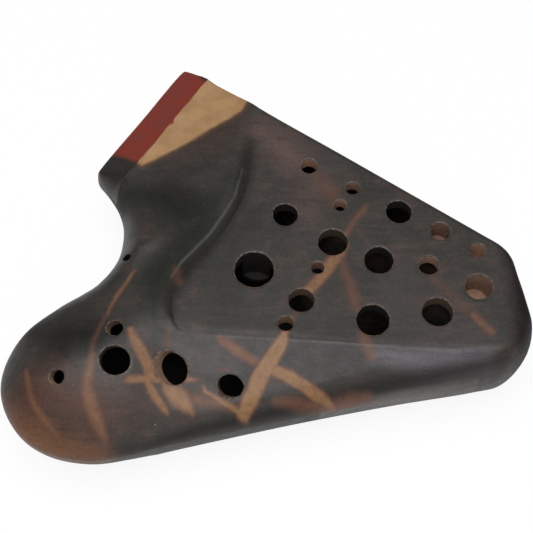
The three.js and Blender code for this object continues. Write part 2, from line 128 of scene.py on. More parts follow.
# Holes: place in shares, and diameter in millimetres
finger_holes = {
    "high_1": ((0.163, 0.362), 6.0), "high_2": ((0.332, 0.242), 5.1), "high_3": ((0.281, 0.151), 4.5),
    "high_4": ((0.507, 0.116), 9.2), "high_5": ((0.663, 0.015), 7.1), "high_6": ((0.799, -0.084), 5.6),
    "middle_1": ((0.067, 0.101), 9.0), "middle_2": ((0.248, -0.042), 10.5),
    "middle_3": ((0.421, -0.134), 10.4), "middle_4": ((0.610, -0.160), 7.2),
    "middle_5": ((0.188, -0.172), 4.7), "middle_6": ((0.792, -0.267), 9.6),
    "low_1": ((-0.052, -0.181), 13.8), "low_2": ((0.125, -0.334), 9.0),
    "low_3": ((0.630, -0.391), 10.7), "low_4": ((0.389, -0.430), 11.5),
    "low_5": ((0.066, -0.447), 5.5), "low_6": ((-0.138, -0.714), 8.8),
    "low_7": ((-0.357, -0.641), 11.6), "low_8": ((-0.557, -0.629), 10.2),
    "low_9": ((-0.563, -0.484), 5.8), "low_10": ((-0.766, -0.695), 5.2),
}
thumb_holes = {
    "low_left": ((-0.500, -0.620), 9.0), "low_right": ((0.300, -0.480), 9.0),
    "middle": ((0.300, -0.120), 8.0), "high": ((0.400, 0.205), 7.0),
}
strap_hole_share = (-0.537, -0.117)


def place(share):
    """A share of the half sizes as a place in metres."""
    return np.array([share[0] * half_length, share[1] * half_width])


tip_high, tip_low = place(tip_high_share), place(tip_low_share)
tip_middle = (tip_high + tip_low) / 2
across_lip = (tip_high - tip_low) / np.linalg.norm(tip_high - tip_low)
along_air = np.array([across_lip[1], -across_lip[0]])


def smooth(start, end, value):
    share = np.clip((value - start) / (end - start), 0, 1)
    return share * share * (3 - 2 * share)


def quarter_round(distance, radius):
    return np.sqrt(np.maximum(0, 1 - (1 - np.clip(distance / radius, 0, 1)) ** 2))


def soft_min(a, b, size):
    share = np.clip(0.5 + (b - a) / (2 * size), 0, 1)
    return b + (a - b) * share - size * share * (1 - share)


spline_steps = 40
least_gap = 1e-9


def spline(points, closed, count):
    """Even steps along a centripetal curve through the points, with the place of each along them."""
    points = [np.array(point, float) for point in points]
    if closed:
        run = points[-1:] + points + points[:2]
    else:
        run = [2 * points[0] - points[1]] + points + [2 * points[-1] - points[-2]]
    spots, places = [], []
    for index in range(len(run) - 3):
        four = run[index:index + 4]
        knots = [0.0]
        for k in range(3):
            knots.append(knots[-1] + max(np.linalg.norm(four[k + 1] - four[k]), least_gap) ** 0.5)
        for step in range(spline_steps):
            t = knots[1] + (knots[2] - knots[1]) * step / spline_steps

            def between(i, j, first, second):
                return ((knots[j] - t) * first + (t - knots[i]) * second) / (knots[j] - knots[i])
            a = [between(k, k + 1, four[k], four[k + 1]) for k in range(3)]
            b = [between(k, k + 2, a[k], a[k + 1]) for k in range(2)]
            spots.append(between(1, 2, b[0], b[1]))
            places.append(index + step / spline_steps)
    spots, places = np.array(spots + [run[-2]]), np.array(places + [len(run) - 3.0])
    reach = np.concatenate([[0], np.cumsum(np.linalg.norm(np.diff(spots, axis=0), axis=1))])
    goals = np.linspace(0, reach[-1], count, endpoint=not closed)
    return (np.stack([np.interp(goals, reach, spots[:, k]) for k in (0, 1)], axis=1),
            np.interp(goals, reach, places))


def nearest_on_run(run, spots, closed):
    """Distance from each spot to a run of points, the side it lies on, and how far along it is."""
    starts = run if closed else run[:-1]
    ends = np.roll(run, -1, axis=0) if closed else run[1:]
    best = np.full(len(spots), np.inf)
    side = np.ones(len(spots))
    along = np.zeros(len(spots))
    for index, (start, end) in enumerate(zip(starts, ends)):
        step = end - start
        off = spots - start
        share = np.clip(off @ step / (step @ step), 0, 1)
        rest = off - share[:, None] * step
        distance = np.hypot(rest[:, 0], rest[:, 1])
        nearer = distance < best
        best[nearer] = distance[nearer]
        turn = step[0] * rest[:, 1] - step[1] * rest[:, 0]
        side[nearer] = np.where(turn[nearer] < 0, -1, 1)
        along[nearer] = index + share[nearer]
    return best, side, along


# The outline with its inward way and its roundings at every step
outline_count = 640


def sample_outline():
    spots, places = spline([place(row[:2]) for row in outline_shares], True, outline_count)
    ahead, behind = np.roll(spots, -1, axis=0), np.roll(spots, 1, axis=0)
    way = ahead - behind
    way /= np.linalg.norm(way, axis=1)[:, None]
    inward = np.stack([-way[:, 1], way[:, 0]], axis=1)
    rounds = np.array([rounding[row[2]] for row in outline_shares])
    start = np.floor(places).astype(int) % len(rounds)
    share = (places - np.floor(places))[:, None]
    radii = rounds[start] * (1 - share) + rounds[(start + 1) % len(rounds)] * share
    return spots, inward, radii


outline, outline_inward, outline_radii = sample_outline()


def edge_at(spots):
    """Signed distance in from the outline, with the front and back rounding there."""
    distance, side, along = nearest_on_run(outline, spots, True)
    start = np.floor(along).astype(int) % len(outline)
    share = (along - np.floor(along))[:, None]
    radii = outline_radii[start] * (1 - share) + outline_radii[(start + 1) % len(outline)] * share
    return distance * side, radii[:, 0], radii[:, 1]


plate_rim, _ = spline([place(share) for share in plate_rim_shares], False, 160)
ridge_line = np.array([place(share) for share in ridge_shares])
valley_line = np.array([place(share) for share in valley_shares])
rim_corner, rim_far = place(plate_rim_shares[rim_corner_index]), place(plate_rim_shares[-1])


def swell(run, spots, width):
    distance, _, along = nearest_on_run(run, spots, False)
    reach = np.sin(np.pi * np.clip((along + 0.5) / len(run), 0, 1))
    return reach * np.exp(-(distance / width) ** 2)


def air_distance(spots):
    return (spots - tip_middle) @ along_air


def lip_distance(spots):
    return (spots - tip_middle) @ across_lip


def crown_height(spots):
    """Height of the front before its edges are rounded."""
    x, y = spots[:, 0], spots[:, 1]
    along = air_distance(spots)
    neck = crease_height + neck_rise * smooth(0, neck_ramp, along - bevel_depth)
    neck += ridge_rise * swell(ridge_line, spots, ridge_width)
    neck -= valley_drop * swell(valley_line, spots, valley_width)
    across = (x - rim_corner[0]) / (rim_far[0] - rim_corner[0])
    share = np.clip(across, 0, 1)
    fall_run = skirt_wide_run + (skirt_narrow_run - skirt_wide_run) * share
    rim_line = rim_corner[1] + (rim_far[1] - rim_corner[1]) * across
    lift = lobe_lift * smooth(rim_corner[0], -half_length * lobe_middle_share, x)
    skirt = plate_height + lift - skirt_fall * (rim_line - y) / fall_run
    skirt = np.maximum(skirt, parting + clay_wall)
    distance, side, _ = nearest_on_run(plate_rim, spots, False)
    away = smooth(0, step_width, distance)
    crisp = smooth(crisp_start_share * half_width, crisp_end_share * half_width, y)
    climb = away + crisp * (np.sin(np.clip(distance / step_width, 0, 1) * math.pi / 2) - away)
    stepped = plate_height + (neck - plate_height) * climb
    outside = soft_min(stepped, skirt, crease_softness + (blend_size - crease_softness) * away)
    crown = np.where(side > 0, soft_min(plate_height, skirt, crease_softness), outside)
    slope = (crease_height - tip_front_height) / bevel_depth
    bevel = tip_front_height + slope * along
    return np.where(along < 2 * bevel_depth, soft_min(crown, bevel, lip_softness), crown)


def back_height(spots):
    """Height of the back before its edges are rounded: hollowed towards the mouthpiece."""
    along = smooth(back_ramp_start + back_ramp_length, back_ramp_start, air_distance(spots))
    along *= smooth(-2 * back_ramp_side, -back_ramp_side, lip_distance(spots))
    return tip_back_height * along


def rounded(distance, radius, inset):
    return quarter_round(distance - inset, np.maximum(radius - inset, clay_wall / 2 if inset else 0))


def front_surface(spots, inset):
    distance, radius, _ = edge_at(spots)
    return parting + (crown_height(spots) - inset - parting) * rounded(distance, radius, inset)


def back_surface(spots, inset):
    distance, _, radius = edge_at(spots)
    return parting - (parting - back_height(spots) - inset) * rounded(distance, radius, inset)


def inside_ring(ring, spots):
    inside = np.zeros(len(spots), bool)
    before = np.roll(ring, 1, axis=0)
    for a, b in zip(ring, before):
        crosses = (a[1] > spots[:, 1]) != (b[1] > spots[:, 1])
        if not crosses.any():
            continue
        rise = b[1] - a[1]
        at = a[0] + (b[0] - a[0]) * (spots[:, 1] - a[1]) / (rise if rise else 1)
        inside ^= crosses & (spots[:, 0] < at)
    return inside


def triangles_between(spots, loops, border, gaps):
    """Triangles over the spots that keep the loops as edges, inside the border and outside the gaps."""
    edges = []
    for first, count in loops:
        edges += [(first + k, first + (k + 1) % count) for k in range(count)]
    result = delaunay_2d_cdt([Vector(spot) for spot in spots], edges, [], 0, least_gap)
    faces = np.array([face for face in result[2]])
    source = np.array([ids[0] if ids else -1 for ids in result[3]])
    faces = source[faces]
    faces = faces[(faces >= 0).all(axis=1)]
    middles = spots[faces].mean(axis=1)
    keep = inside_ring(border, middles)
    for gap in gaps:
        low, high = gap.min(axis=0), gap.max(axis=0)
        near = ((middles > low) & (middles < high)).all(axis=1) & keep
        hit = np.zeros(len(middles), bool)
        hit[near] = inside_ring(gap, middles[near])
        keep &= ~hit
    return faces[keep]


grid_step = 1.35 * mm
edge_rings = [0.12, 0.35, 0.7, 1.15, 1.7, 2.4, 3.2, 4.1, 5.1, 6.2, 7.4]
edge_rings = [ring * mm for ring in edge_rings]
hole_step = 0.55 * mm
close_share = 0.93
bore_depth = clay_wall + 4 * mm
rim_turns = (0.0, 0.25, 0.5, 0.75, 1.0)
hole_orders = (2, 3, 5, 7)
least_hole_sides = 20
edge_clear_share = 0.6
hole_clear_share = 1.5
hole_row_shares = (0.45, 1.05)
hole_wobble = 0.02
hole_rim = 0.45 * mm
hole_rims = {"low_7": 1.1 * mm, "low_8": 0.8 * mm, "low_1": 0.6 * mm, "low_6": 0.6 * mm}
bore_shares = (0.08, 0.3, 0.6, 1.0)
bore_depths = {"low_1": 14 * mm, "middle_6": 11 * mm}
bore_leans = {"low_6": (0.12, 0.56), "low_7": (0.42, 0.38), "low_8": (0.02, 0.34), "low_9": (0.18, 0.20),
              "low_10": (0.15, 0.40)}
rim_row_shifts = [shift * mm for shift in (0.0, 0.4, 0.9, 1.5, 2.2)]
crease_rows = [bevel_depth + shift * mm for shift in (-1.5, -0.9, -0.45, -0.15, 0.15, 0.45, 0.9, 1.5)]


def surface_normal(surface, spot, probe):
    ways = np.array([[probe, 0], [-probe, 0], [0, probe], [0, -probe]])
    heights = surface(spot + ways, 0)
    slope = np.array([heights[1] - heights[0], heights[3] - heights[2]]) / (2 * probe)
    normal = np.array([slope[0], slope[1], 1.0])
    return normal / np.linalg.norm(normal)


def hole_rings(surface, hole, rim, seed, down, depth):
    """Rings of a bored hole: a rounded rim on the surface, then the bore down into the clay."""
    middle, radius = place(hole[0]), hole[1] * mm / 2
    first = np.array([down[2], 0, -down[0]])
    first *= math.copysign(1, first[0]) / np.linalg.norm(first)
    second = np.cross(down, first)
    second *= math.copysign(1, second[1])
    count = max(least_hole_sides, int(2 * math.pi * radius / hole_step))
    turn = np.arange(count) * 2 * math.pi / count
    rng = np.random.default_rng(seed)
    wobble = np.ones(count)
    for order in hole_orders:
        wobble += rng.normal(0, hole_wobble / order) * np.cos(order * turn + rng.uniform(0, 2 * math.pi))
    circle = np.cos(turn)[:, None] * first + np.sin(turn)[:, None] * second
    rings = []
    for share in rim_turns:
        angle = share * math.pi / 2
        out = (radius + rim * (1 - math.sin(angle))) * wobble
        flat = middle + (circle * out[:, None])[:, :2]
        ring = np.column_stack([flat, surface(flat, 0)]) + down * rim * (1 - math.cos(angle))
        rings.append(ring)
    return rings + [rings[-1] + down * depth * share for share in bore_shares]


def mesh_object(name, vertices, faces):
    mesh = bpy.data.meshes.new(name)
    mesh.from_pydata([tuple(v) for v in vertices], [], [tuple(int(i) for i in f) for f in faces])
    piece = bpy.data.objects.new(name, mesh)
    bpy.context.collection.objects.link(piece)
    return piece


def rim_row_spots():
    """Rows of points along both sides of the plate's rim."""
    way = np.gradient(plate_rim, axis=0)
    way /= np.linalg.norm(way, axis=1)[:, None]
    normal = np.stack([-way[:, 1], way[:, 0]], axis=1)
    rows = [plate_rim]
    for shift in rim_row_shifts[1:]:
        for side in (-shift, shift):
            row = plate_rim + normal * side
            rows.append(row[nearest_on_run(plate_rim, row, False)[0] > shift * close_share])
    return np.concatenate(rows)


def body_grid(step, inner, fine):
    """Points inside the rings: a grid, and if it is fine, rows along the crease and the plate's rim."""
    row = step * math.sqrt(3) / 2
    xs = np.arange(-half_length, half_length + step, step)
    ys = np.arange(-half_width, half_width + row, row)
    margin = inner + step * edge_clear_share
    grid = np.array([(x + (k % 2) * step / 2, y) for k, y in enumerate(ys) for x in xs])
    grid = grid[edge_at(grid)[0] > margin]
    if not fine:
        return grid
    reach = half_width / 2
    crease = np.array([tip_middle + along_air * along + across_lip * across
                       for along in crease_rows for across in np.arange(-reach, reach, step)])
    near_crease = np.abs(air_distance(grid) - bevel_depth) < crease_rows[-1] - bevel_depth + step / 2
    near_crease &= np.abs(lip_distance(grid)) < reach
    grid = grid[~near_crease]
    grid = grid[nearest_on_run(plate_rim, grid, False)[0] > rim_row_shifts[-1] + step / 2]
    rows = [part[edge_at(part)[0] > margin] for part in (crease, rim_row_spots())]
    return np.concatenate([grid] + rows)


def bore_way(surface, label, hole, facing):
    """The way a hole is bored: straight from the back, and leaning or square to the skin in front."""
    if facing < 0:
        return np.array([0, 0, 1.0])
    if label in bore_leans:
        way = np.array([*bore_leans[label], -1.0])
        return way / np.linalg.norm(way)
    return -surface_normal(surface, place(hole[0]), hole[1] * mm / 2)


def clear_hole(flat, loop, step):
    """Puts two rows of points round a hole in place of the grid there."""
    middle = loop.mean(axis=0)
    reach = np.linalg.norm(loop - middle, axis=1).max()
    rows = [flat[np.linalg.norm(flat - middle, axis=1) > reach + hole_clear_share * step]]
    for share in hole_row_shares:
        around = middle + (loop - middle) * (1 + share * step / reach)
        rows.append(around[::2] if share > 1 else around)
    return np.concatenate(rows)


def half_solid(name, surface, holes, facing, step, rings, inset=0.0):
    """Closed half of the body: its skin with blind holes in it, over a flat at the parting plane."""
    border = outline + outline_inward * inset
    spots, bores, gaps = [], [], []
    for ring in rings:
        shifted = outline + outline_inward * (inset + ring)
        spots.append(shifted[edge_at(shifted)[0] > (inset + ring) * close_share])
    flat = np.concatenate(spots + [body_grid(step, inset + rings[-1], facing > 0 and not inset)])
    for seed, (label, hole) in enumerate(holes.items()):
        rim, depth = hole_rims.get(label, hole_rim), bore_depths.get(label, bore_depth)
        bores.append(hole_rings(surface, hole, rim, seed, bore_way(surface, label, hole, facing), depth))
        gaps.append(bores[-1][0][:, :2])
        flat = clear_hole(flat, gaps[-1], step)
    all_flat = np.concatenate([border] + gaps + [flat])
    loops, first = [], 0
    for loop in [border] + gaps:
        loops.append((first, len(loop)))
        first += len(loop)
    skin = triangles_between(all_flat, loops, border, gaps)
    heights = surface(all_flat, inset)
    heights[:len(border)] = parting
    vertices = [np.column_stack([all_flat, heights])]
    faces = [skin if facing > 0 else skin[:, ::-1]]
    count = len(all_flat)
    for (first, size), bore in zip(loops[1:], bores):
        upper = np.arange(first, first + size)
        for ring in bore[1:]:
            lower = np.arange(count, count + size)
            vertices.append(ring)
            count += size
            quads = np.column_stack([upper, lower, np.roll(lower, -1), np.roll(upper, -1)])
            faces.append(quads[:, ::-1] if facing > 0 else quads)
            upper = lower
        faces.append([upper if facing > 0 else upper[::-1]])
    base = triangles_between(border, [(0, len(border))], border, [])
    faces.append(base[:, ::-1] if facing > 0 else base)
    return mesh_object(name, np.concatenate(vertices), [face for group in faces for face in group])


def only(piece):
    """Makes one object the selected and active one."""
    bpy.ops.object.select_all(action="DESELECT")
    piece.select_set(True)
    bpy.context.view_layer.objects.active = piece


def carve(piece, cutter):
    """Cuts a piece by another, which is used up."""
    only(piece)
    cut = piece.modifiers.new("carve", "BOOLEAN")
    cut.operation = "DIFFERENCE"
    cut.object = cutter
    cut.solver = "EXACT"
    bpy.ops.object.modifier_apply(modifier=cut.name)
    bpy.data.objects.remove(cutter, do_unlink=True)


def mouth_box(name, along, across, heights):
    """A box in the frame of the mouthpiece: spans along the air, across the lip and in height."""
    bpy.ops.object.select_all(action="DESELECT")
    flat = tip_middle + along_air * sum(along) / 2 + across_lip * sum(across) / 2
    turn = math.atan2(along_air[1], along_air[0])
    bpy.ops.mesh.primitive_cube_add(size=1, location=(*flat, sum(heights) / 2), rotation=(0, 0, turn))
    box = bpy.context.object
    box.name = name
    box.scale = (along[1] - along[0], across[1] - across[0], heights[1] - heights[0])
    bpy.ops.object.transform_apply(location=True, rotation=True, scale=True)
    return box


post_sides = 48


def post(name, spot, diameter, heights):
    bpy.ops.object.select_all(action="DESELECT")
    bpy.ops.mesh.primitive_cylinder_add(
        vertices=post_sides, radius=diameter / 2, depth=heights[1] - heights[0],
        location=(spot[0], spot[1], sum(heights) / 2))
    rod = bpy.context.object
    rod.name = name
    bpy.ops.object.transform_apply(location=True, rotation=True, scale=True)
    return rod


doubles_size = 0.002 * mm
soft_edge_angle = math.radians(38)
glaze_edge_angle = math.radians(60)


def finish_mesh(piece, angle):
    """Merges doubles, turns the faces outwards and smooths all but the sharp edges."""
    only(piece)
    bpy.ops.object.mode_set(mode="EDIT")
    bpy.ops.mesh.select_all(action="SELECT")
    bpy.ops.mesh.remove_doubles(threshold=doubles_size)
    bpy.ops.mesh.normals_make_consistent(inside=False)
    bpy.ops.object.mode_set(mode="OBJECT")
    bpy.ops.object.shade_smooth_by_angle(angle=angle)


air_top = roof_low.z


def across_span(node):
    """How far a node of the windway block reaches across the lip, and along the air."""
    corners = [np.array(v.co[:2]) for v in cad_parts[node].data.vertices]
    across = [(corner - tip_middle) @ across_lip for corner in corners]
    along = [(corner - tip_middle) @ along_air for corner in corners]
    return (min(across), max(across)), (min(along), max(along))


block_across, block_along = across_span("windway_floor")
low_divider_across, _ = across_span("low_middle_windway_divider")
high_divider_across, _ = across_span("middle_high_windway_divider")
windway_spans = [(block_across[0], low_divider_across[0]),
                 (low_divider_across[1], high_divider_across[0]),
                 (high_divider_across[1], block_across[1])]
window_end = block_along[1] + window_length
ramp_end = window_end + labium_ramp
over = 3 * mm
sky = 80 * mm


# How bare of smoke the clay is inside each hole, where it isn't black, and how far in diameters
bare_reach = 0.8
bare_holes = {
    "high_1": 0.9, "high_2": 0.75, "high_3": 0.95, "high_5": 0.6, "high_6": 1.0, "middle_4": 0.95,
    "middle_5": 0.5, "middle_6": 0.75, "low_2": 0.3, "low_3": 0.25, "low_5": 0.65, "low_6": 0.35,
    "low_7": 0.7, "low_8": 0.15, "low_9": 0.55, "low_10": 0.85, "middle_2": 0.15,
}
# How far a hole's bored wall reaches from its middle, in diameters, and how deep it leans, in mm
bored_share = 0.54
deepest_bore = 12


def write_values(piece, name, values):
    layer = piece.data.attributes.new(name, "FLOAT", "POINT")
    layer.data.foreach_set("value", np.asarray(values, np.float32))


def skin_values(piece, surface, holes, facing):
    """Writes how deep under the skin each point lies, in millimetres, if it is in a hole and how bare."""
    spots = np.array([vertex.co[:] for vertex in piece.data.vertices])
    depth = (surface(spots[:, :2], 0) - spots[:, 2]) * facing / mm
    bare, bored = np.zeros(len(spots)), np.zeros(len(spots))
    for label, (share, diameter) in holes.items():
        away = np.linalg.norm(spots[:, :2] - place(share), axis=1)
        lean = np.hypot(*bore_leans.get(label, (0, 0))) * np.clip(depth, 0, deepest_bore) * mm
        bare[away < bare_reach * diameter * mm + lean] = bare_holes.get(label, 0)
        bored[away < bored_share * diameter * mm + lean] = 1
    write_values(piece, "depth", np.clip(depth, 0, None))
    write_values(piece, "bare", bare)
    write_values(piece, "bored", bored)


# Thick clay by the end holes, in mm: its shift from the hole, diameter, and lowest and highest place
inner_clay = {
    "middle_6": ((4, 9.2), 19, -9, 34),
    "high_6": ((1.5, 7.1), 13, -9, 35),
    "high_5": ((0.5, 6.4), 11, 26, 36),
    "low_1": ((1.5, 12.1), 17, 21, 37),
}
sliver_size = 0.02 * mm
coarse_rings = [0.3 * mm, 0.9 * mm, 2.0 * mm, 3.6 * mm, 5.6 * mm]
coarse_step = 3.2 * mm
plane_tolerance = 0.001 * mm
window_overlap = 0.1 * mm


def chamber_half(name, surface, facing):
    """The hollow of one shell, behind the windway block and clear of the strap hole's post."""
    hollow = half_solid(name, surface, {}, facing, coarse_step, coarse_rings, clay_wall)
    across = (block_across[0] - clay_wall, sky)
    carve(hollow, mouth_box("block", (-sky, block_along[1]), across, (-over, sky)))
    carve(hollow, post("strap_post", place(strap_hole_share), 3 * strap_hole_diameter, (-over, sky)))
    for label, (shift, diameter, bottom, top) in inner_clay.items():
        middle = place(finger_holes[label][0]) + np.array(shift) * mm
        carve(hollow, post("inner_clay", middle, diameter * mm, (bottom * mm, top * mm)))
    for vertex in hollow.data.vertices:
        if abs(vertex.co.z - parting) < plane_tolerance:
            vertex.co.z -= facing * over
    only(hollow)
    bpy.ops.object.mode_set(mode="EDIT")
    bpy.ops.mesh.select_all(action="SELECT")
    bpy.ops.mesh.remove_doubles(threshold=sliver_size)
    bpy.ops.mesh.dissolve_degenerate(threshold=sliver_size)
    bpy.ops.object.mode_set(mode="OBJECT")
    return hollow


def shell(name, node, surface, holes, facing):
    piece = half_solid(name, surface, holes, facing, grid_step, edge_rings)
    carve(piece, chamber_half("hollow", surface, facing))
    carve(piece, mouth_box("pocket", (-over, block_along[1]), block_across, (floor_low.z, roof_high.z)))
    window_start = block_along[1] - window_overlap
    for span in windway_spans:
        carve(piece, mouth_box("window", (window_start, ramp_end), span, (-over, air_top)))
    carve(piece, post("strap_hole", place(strap_hole_share), strap_hole_diameter, (-over, sky)))
    finish_mesh(piece, soft_edge_angle)
    skin_values(piece, surface, holes, facing)
    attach(piece, "root")
    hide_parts(node)
    return piece


# The glaze coat: its margin to the edges, its rows and columns, its thickness and its one drip
glaze_margin = 0.3 * mm
glaze_rows = 48
glaze_columns = 150
glaze_thickness = 0.26 * mm
glaze_softness = 0.6 * mm
glaze_wander = 0.07 * mm
drip_across = 2.3 * mm
drip_length = 0.9 * mm
drip_width = 0.9 * mm
drip_rise = 0.12 * mm
glaze_foot = 0.3 * mm
glaze_wave_sizes = (0.9, 1.9, 3.4, 6.1)
glaze_seed = 31
edge_power = 8
lip_steps = 400


def lip_reach(along, side):
    """How far across the lip the clay goes at one distance along the air."""
    reach = np.linspace(0, half_width / 2, lip_steps) * side
    spots = tip_middle + along_air * along + reach[:, None] * across_lip
    return reach[np.argmax(edge_at(spots)[0] < glaze_margin)]


def glaze_coat():
    """The glaze on the bevel of the mouthpiece: a thin coat with soft edges and one small drip."""
    shares = (1 - np.cos(np.linspace(0, math.pi, glaze_rows))) / 2
    across_shares = (1 - np.cos(np.linspace(0, math.pi, glaze_columns))) / 2
    rng = np.random.default_rng(glaze_seed)
    turns = rng.uniform(0, 2 * math.pi, len(glaze_wave_sizes))
    top = []
    for share in shares:
        along = glaze_margin + share * (bevel_depth - glaze_margin)
        low, high = lip_reach(along, -1), lip_reach(along, 1)
        across = low + across_shares * (high - low)
        wave = sum(np.sin(across / (size * mm) + turn) for size, turn in zip(glaze_wave_sizes, turns))
        drip = np.exp(-((across - drip_across) / drip_width) ** 2)
        wander = glaze_wander * wave + drip_length * drip
        row_along = along + wander * share ** edge_power
        spots = tip_middle + row_along[:, None] * along_air + across[:, None] * across_lip
        edge = np.minimum(share, 1 - share) * bevel_depth
        sides = np.minimum(across_shares, 1 - across_shares) * (high - low)
        thick = glaze_thickness * quarter_round(np.minimum(edge, sides), glaze_softness)
        thick += drip_rise * drip * share ** edge_power
        top.append(np.column_stack([spots, front_surface(spots, 0) + thick]))
    top = np.array(top)
    bottom = top.copy()
    under = front_surface(bottom[:, :, :2].reshape(-1, 2), 0) - glaze_foot
    bottom[:, :, 2] = under.reshape(top.shape[:2])
    count = glaze_rows * glaze_columns
    at = np.arange(count).reshape(glaze_rows, glaze_columns)
    corners = np.stack([at[:-1, :-1], at[:-1, 1:], at[1:, 1:], at[1:, :-1]], axis=-1).reshape(-1, 4)
    faces = list(corners) + list(corners[:, ::-1] + count)
    border = list(at[0]) + list(at[1:, -1]) + list(at[-1, -2::-1]) + list(at[-2:0:-1, 0])
    faces += [(a, a + count, b + count, b) for a, b in zip(border, border[1:] + border[:1])]
    piece = mesh_object("lip_glaze_coat", np.concatenate([top.reshape(-1, 3), bottom.reshape(-1, 3)]), faces)
    finish_mesh(piece, glaze_edge_angle)
    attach(piece, "root")
    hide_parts("lip_glaze")
    return piece


glaze = glaze_coat()
front = shell("clay_front", "front_shell", front_surface, finger_holes, 1)
back = shell("clay_back", "back_shell", back_surface, thumb_holes, -1)


# The camera, from the photograph's frame and the size of one of its pixels at the plate
photo_pixels = 533
pixel_size = 0.35 * mm
sensor_width = 36
camera_near = 10 * mm
camera_distance = 450 * mm
camera_elevation = math.radians(61.5)
camera_lens = sensor_width * camera_distance / (photo_pixels * pixel_size)
camera_target = (-0.5 * mm, -13.2 * mm)


def camera_view():
    """The camera of the photograph, over the near edge of the body."""
    target = Vector((camera_target[0], camera_target[1], plate_height))
    back_way = Vector((0, -math.cos(camera_elevation), math.sin(camera_elevation)))
    bpy.ops.object.camera_add(location=target + back_way * camera_distance)
    camera = bpy.context.object
    camera.rotation_euler = (math.pi / 2 - camera_elevation, 0, 0)
    camera.data.sensor_width = sensor_width
    camera.data.lens = camera_lens
    camera.data.clip_start = camera_near
    bpy.context.scene.camera = camera


camera_view()


# Noise in the finishes: lump size, detail, roughness, and the squeeze of its place along x, y and z
patterns = {
    "wander": (9 * mm, 1.0, 0.5, None),
    "fray": (1.4 * mm, 3.0, 0.5, None),
    "unevenness": (14 * mm, 1.0, 0.5, None),
    "dimples": (4 * mm, 2.0, 0.5, None),
    "rubbing_lines": (0.55 * mm, 3.0, 0.6, (0.12, 1.0, 0.4)),
    "fine_grain": (0.4 * mm, 2.0, 0.6, None),
    "smoke_clouds": (26 * mm, 3.0, 0.55, None),
    "smoke_mottle": (6 * mm, 5.0, 0.62, None),
    "smoke_grain": (0.8 * mm, 3.0, 0.7, None),
    "smoke_rubbing": (2.6 * mm, 4.0, 0.65, (0.14, 1.0, 1.0)),
    "mark_streaks": (2.2 * mm, 4.0, 0.65, (1, 1, 0.3)),
    "rim_chips": (1.3 * mm, 2.0, 0.5, None),
    "beige_clouds": (7 * mm, 3.0, 0.6, None),
    "glaze_clouds": (6 * mm, 3.0, 0.55, None),
    "glaze_grain": (0.9 * mm, 3.0, 0.6, None),
    "inner_clouds": (12 * mm, 4.0, 0.6, None),
    "inner_grain": (0.7 * mm, 3.0, 0.65, None),
}
# Scattered dots: size of their cells, share of the cells that have one, and its size in the cell
dot_patterns = {
    "pores": (1.6 * mm, 0.12, 0.16),
    "pale_dots": (5.5 * mm, 0.16, 0.055),
    "dark_dots": (2.6 * mm, 0.25, 0.10),
    "glaze_dots": (5 * mm, 0.22, 0.07),
}


class Net:
    """Adds nodes to one node tree and links them."""

    def __init__(self, tree):
        self.nodes = tree.nodes
        self.links = tree.links

    def feed(self, socket, value):
        if isinstance(value, bpy.types.NodeSocket):
            self.links.new(value, socket)
        elif value is not None:
            socket.default_value = value

    def math(self, operation, first, second=None, third=None):
        node = self.nodes.new("ShaderNodeMath")
        node.operation = operation
        for socket, value in zip(node.inputs, (first, second, third)):
            self.feed(socket, value)
        return node.outputs[0]

    def vector(self, operation, first, second=None, scale=None):
        node = self.nodes.new("ShaderNodeVectorMath")
        node.operation = operation
        self.feed(node.inputs[0], first)
        self.feed(node.inputs[1], second)
        if scale is not None:
            self.feed(node.inputs["Scale"], scale)
        return node.outputs["Value" if operation in ("DOT_PRODUCT", "LENGTH") else "Vector"]

    def ease(self, value, start, end, low=0.0, high=1.0):
        node = self.nodes.new("ShaderNodeMapRange")
        node.interpolation_type = "SMOOTHSTEP"
        labels = ("Value", "From Min", "From Max", "To Min", "To Max")
        for label, given in zip(labels, (value, start, end, low, high)):
            self.feed(node.inputs[label], given)
        return node.outputs["Result"]

    def noise(self, spot, pattern, output="Fac"):
        size, detail, roughness, squeeze = patterns[pattern]
        node = self.nodes.new("ShaderNodeTexNoise")
        self.feed(node.inputs["Vector"], self.vector("MULTIPLY", spot, squeeze) if squeeze else spot)
        node.inputs["Scale"].default_value = 1 / size
        node.inputs["Detail"].default_value = detail
        node.inputs["Roughness"].default_value = roughness
        return node.outputs[output]

    def blend(self, share, first, second):
        node = self.nodes.new("ShaderNodeMix")
        node.data_type = "RGBA"
        self.feed(node.inputs[0], share)
        for socket, value in ((node.inputs[6], first), (node.inputs[7], second)):
            self.feed(socket, (*value, 1) if isinstance(value, tuple) else value)
        return node.outputs[2]

    def use(self, group, **values):
        """Adds a shared group with its inputs fed by name."""
        node = self.nodes.new("ShaderNodeGroup")
        node.node_tree = group
        for label, value in values.items():
            self.feed(node.inputs[label], value)
        return node.outputs

    def dots(self, spot, pattern):
        cell, share, size = dot_patterns[pattern]
        return self.use(specks, Spot=spot, Cell=cell, Share=share, Size=size)["Mask"]

    def attribute(self, name):
        node = self.nodes.new("ShaderNodeAttribute")
        node.attribute_name = name
        return node.outputs["Fac"]


def shared_group(name, inputs, outputs):
    """An empty shader node group with the named sockets."""
    tree = bpy.data.node_groups.new(name, "ShaderNodeTree")
    for label, kind in inputs.items():
        tree.interface.new_socket(label, in_out="INPUT", socket_type="NodeSocket" + kind)
    for label, kind in outputs.items():
        tree.interface.new_socket(label, in_out="OUTPUT", socket_type="NodeSocket" + kind)
    given = tree.nodes.new("NodeGroupInput").outputs
    result = tree.nodes.new("NodeGroupOutput").inputs
    return tree, Net(tree), given, result


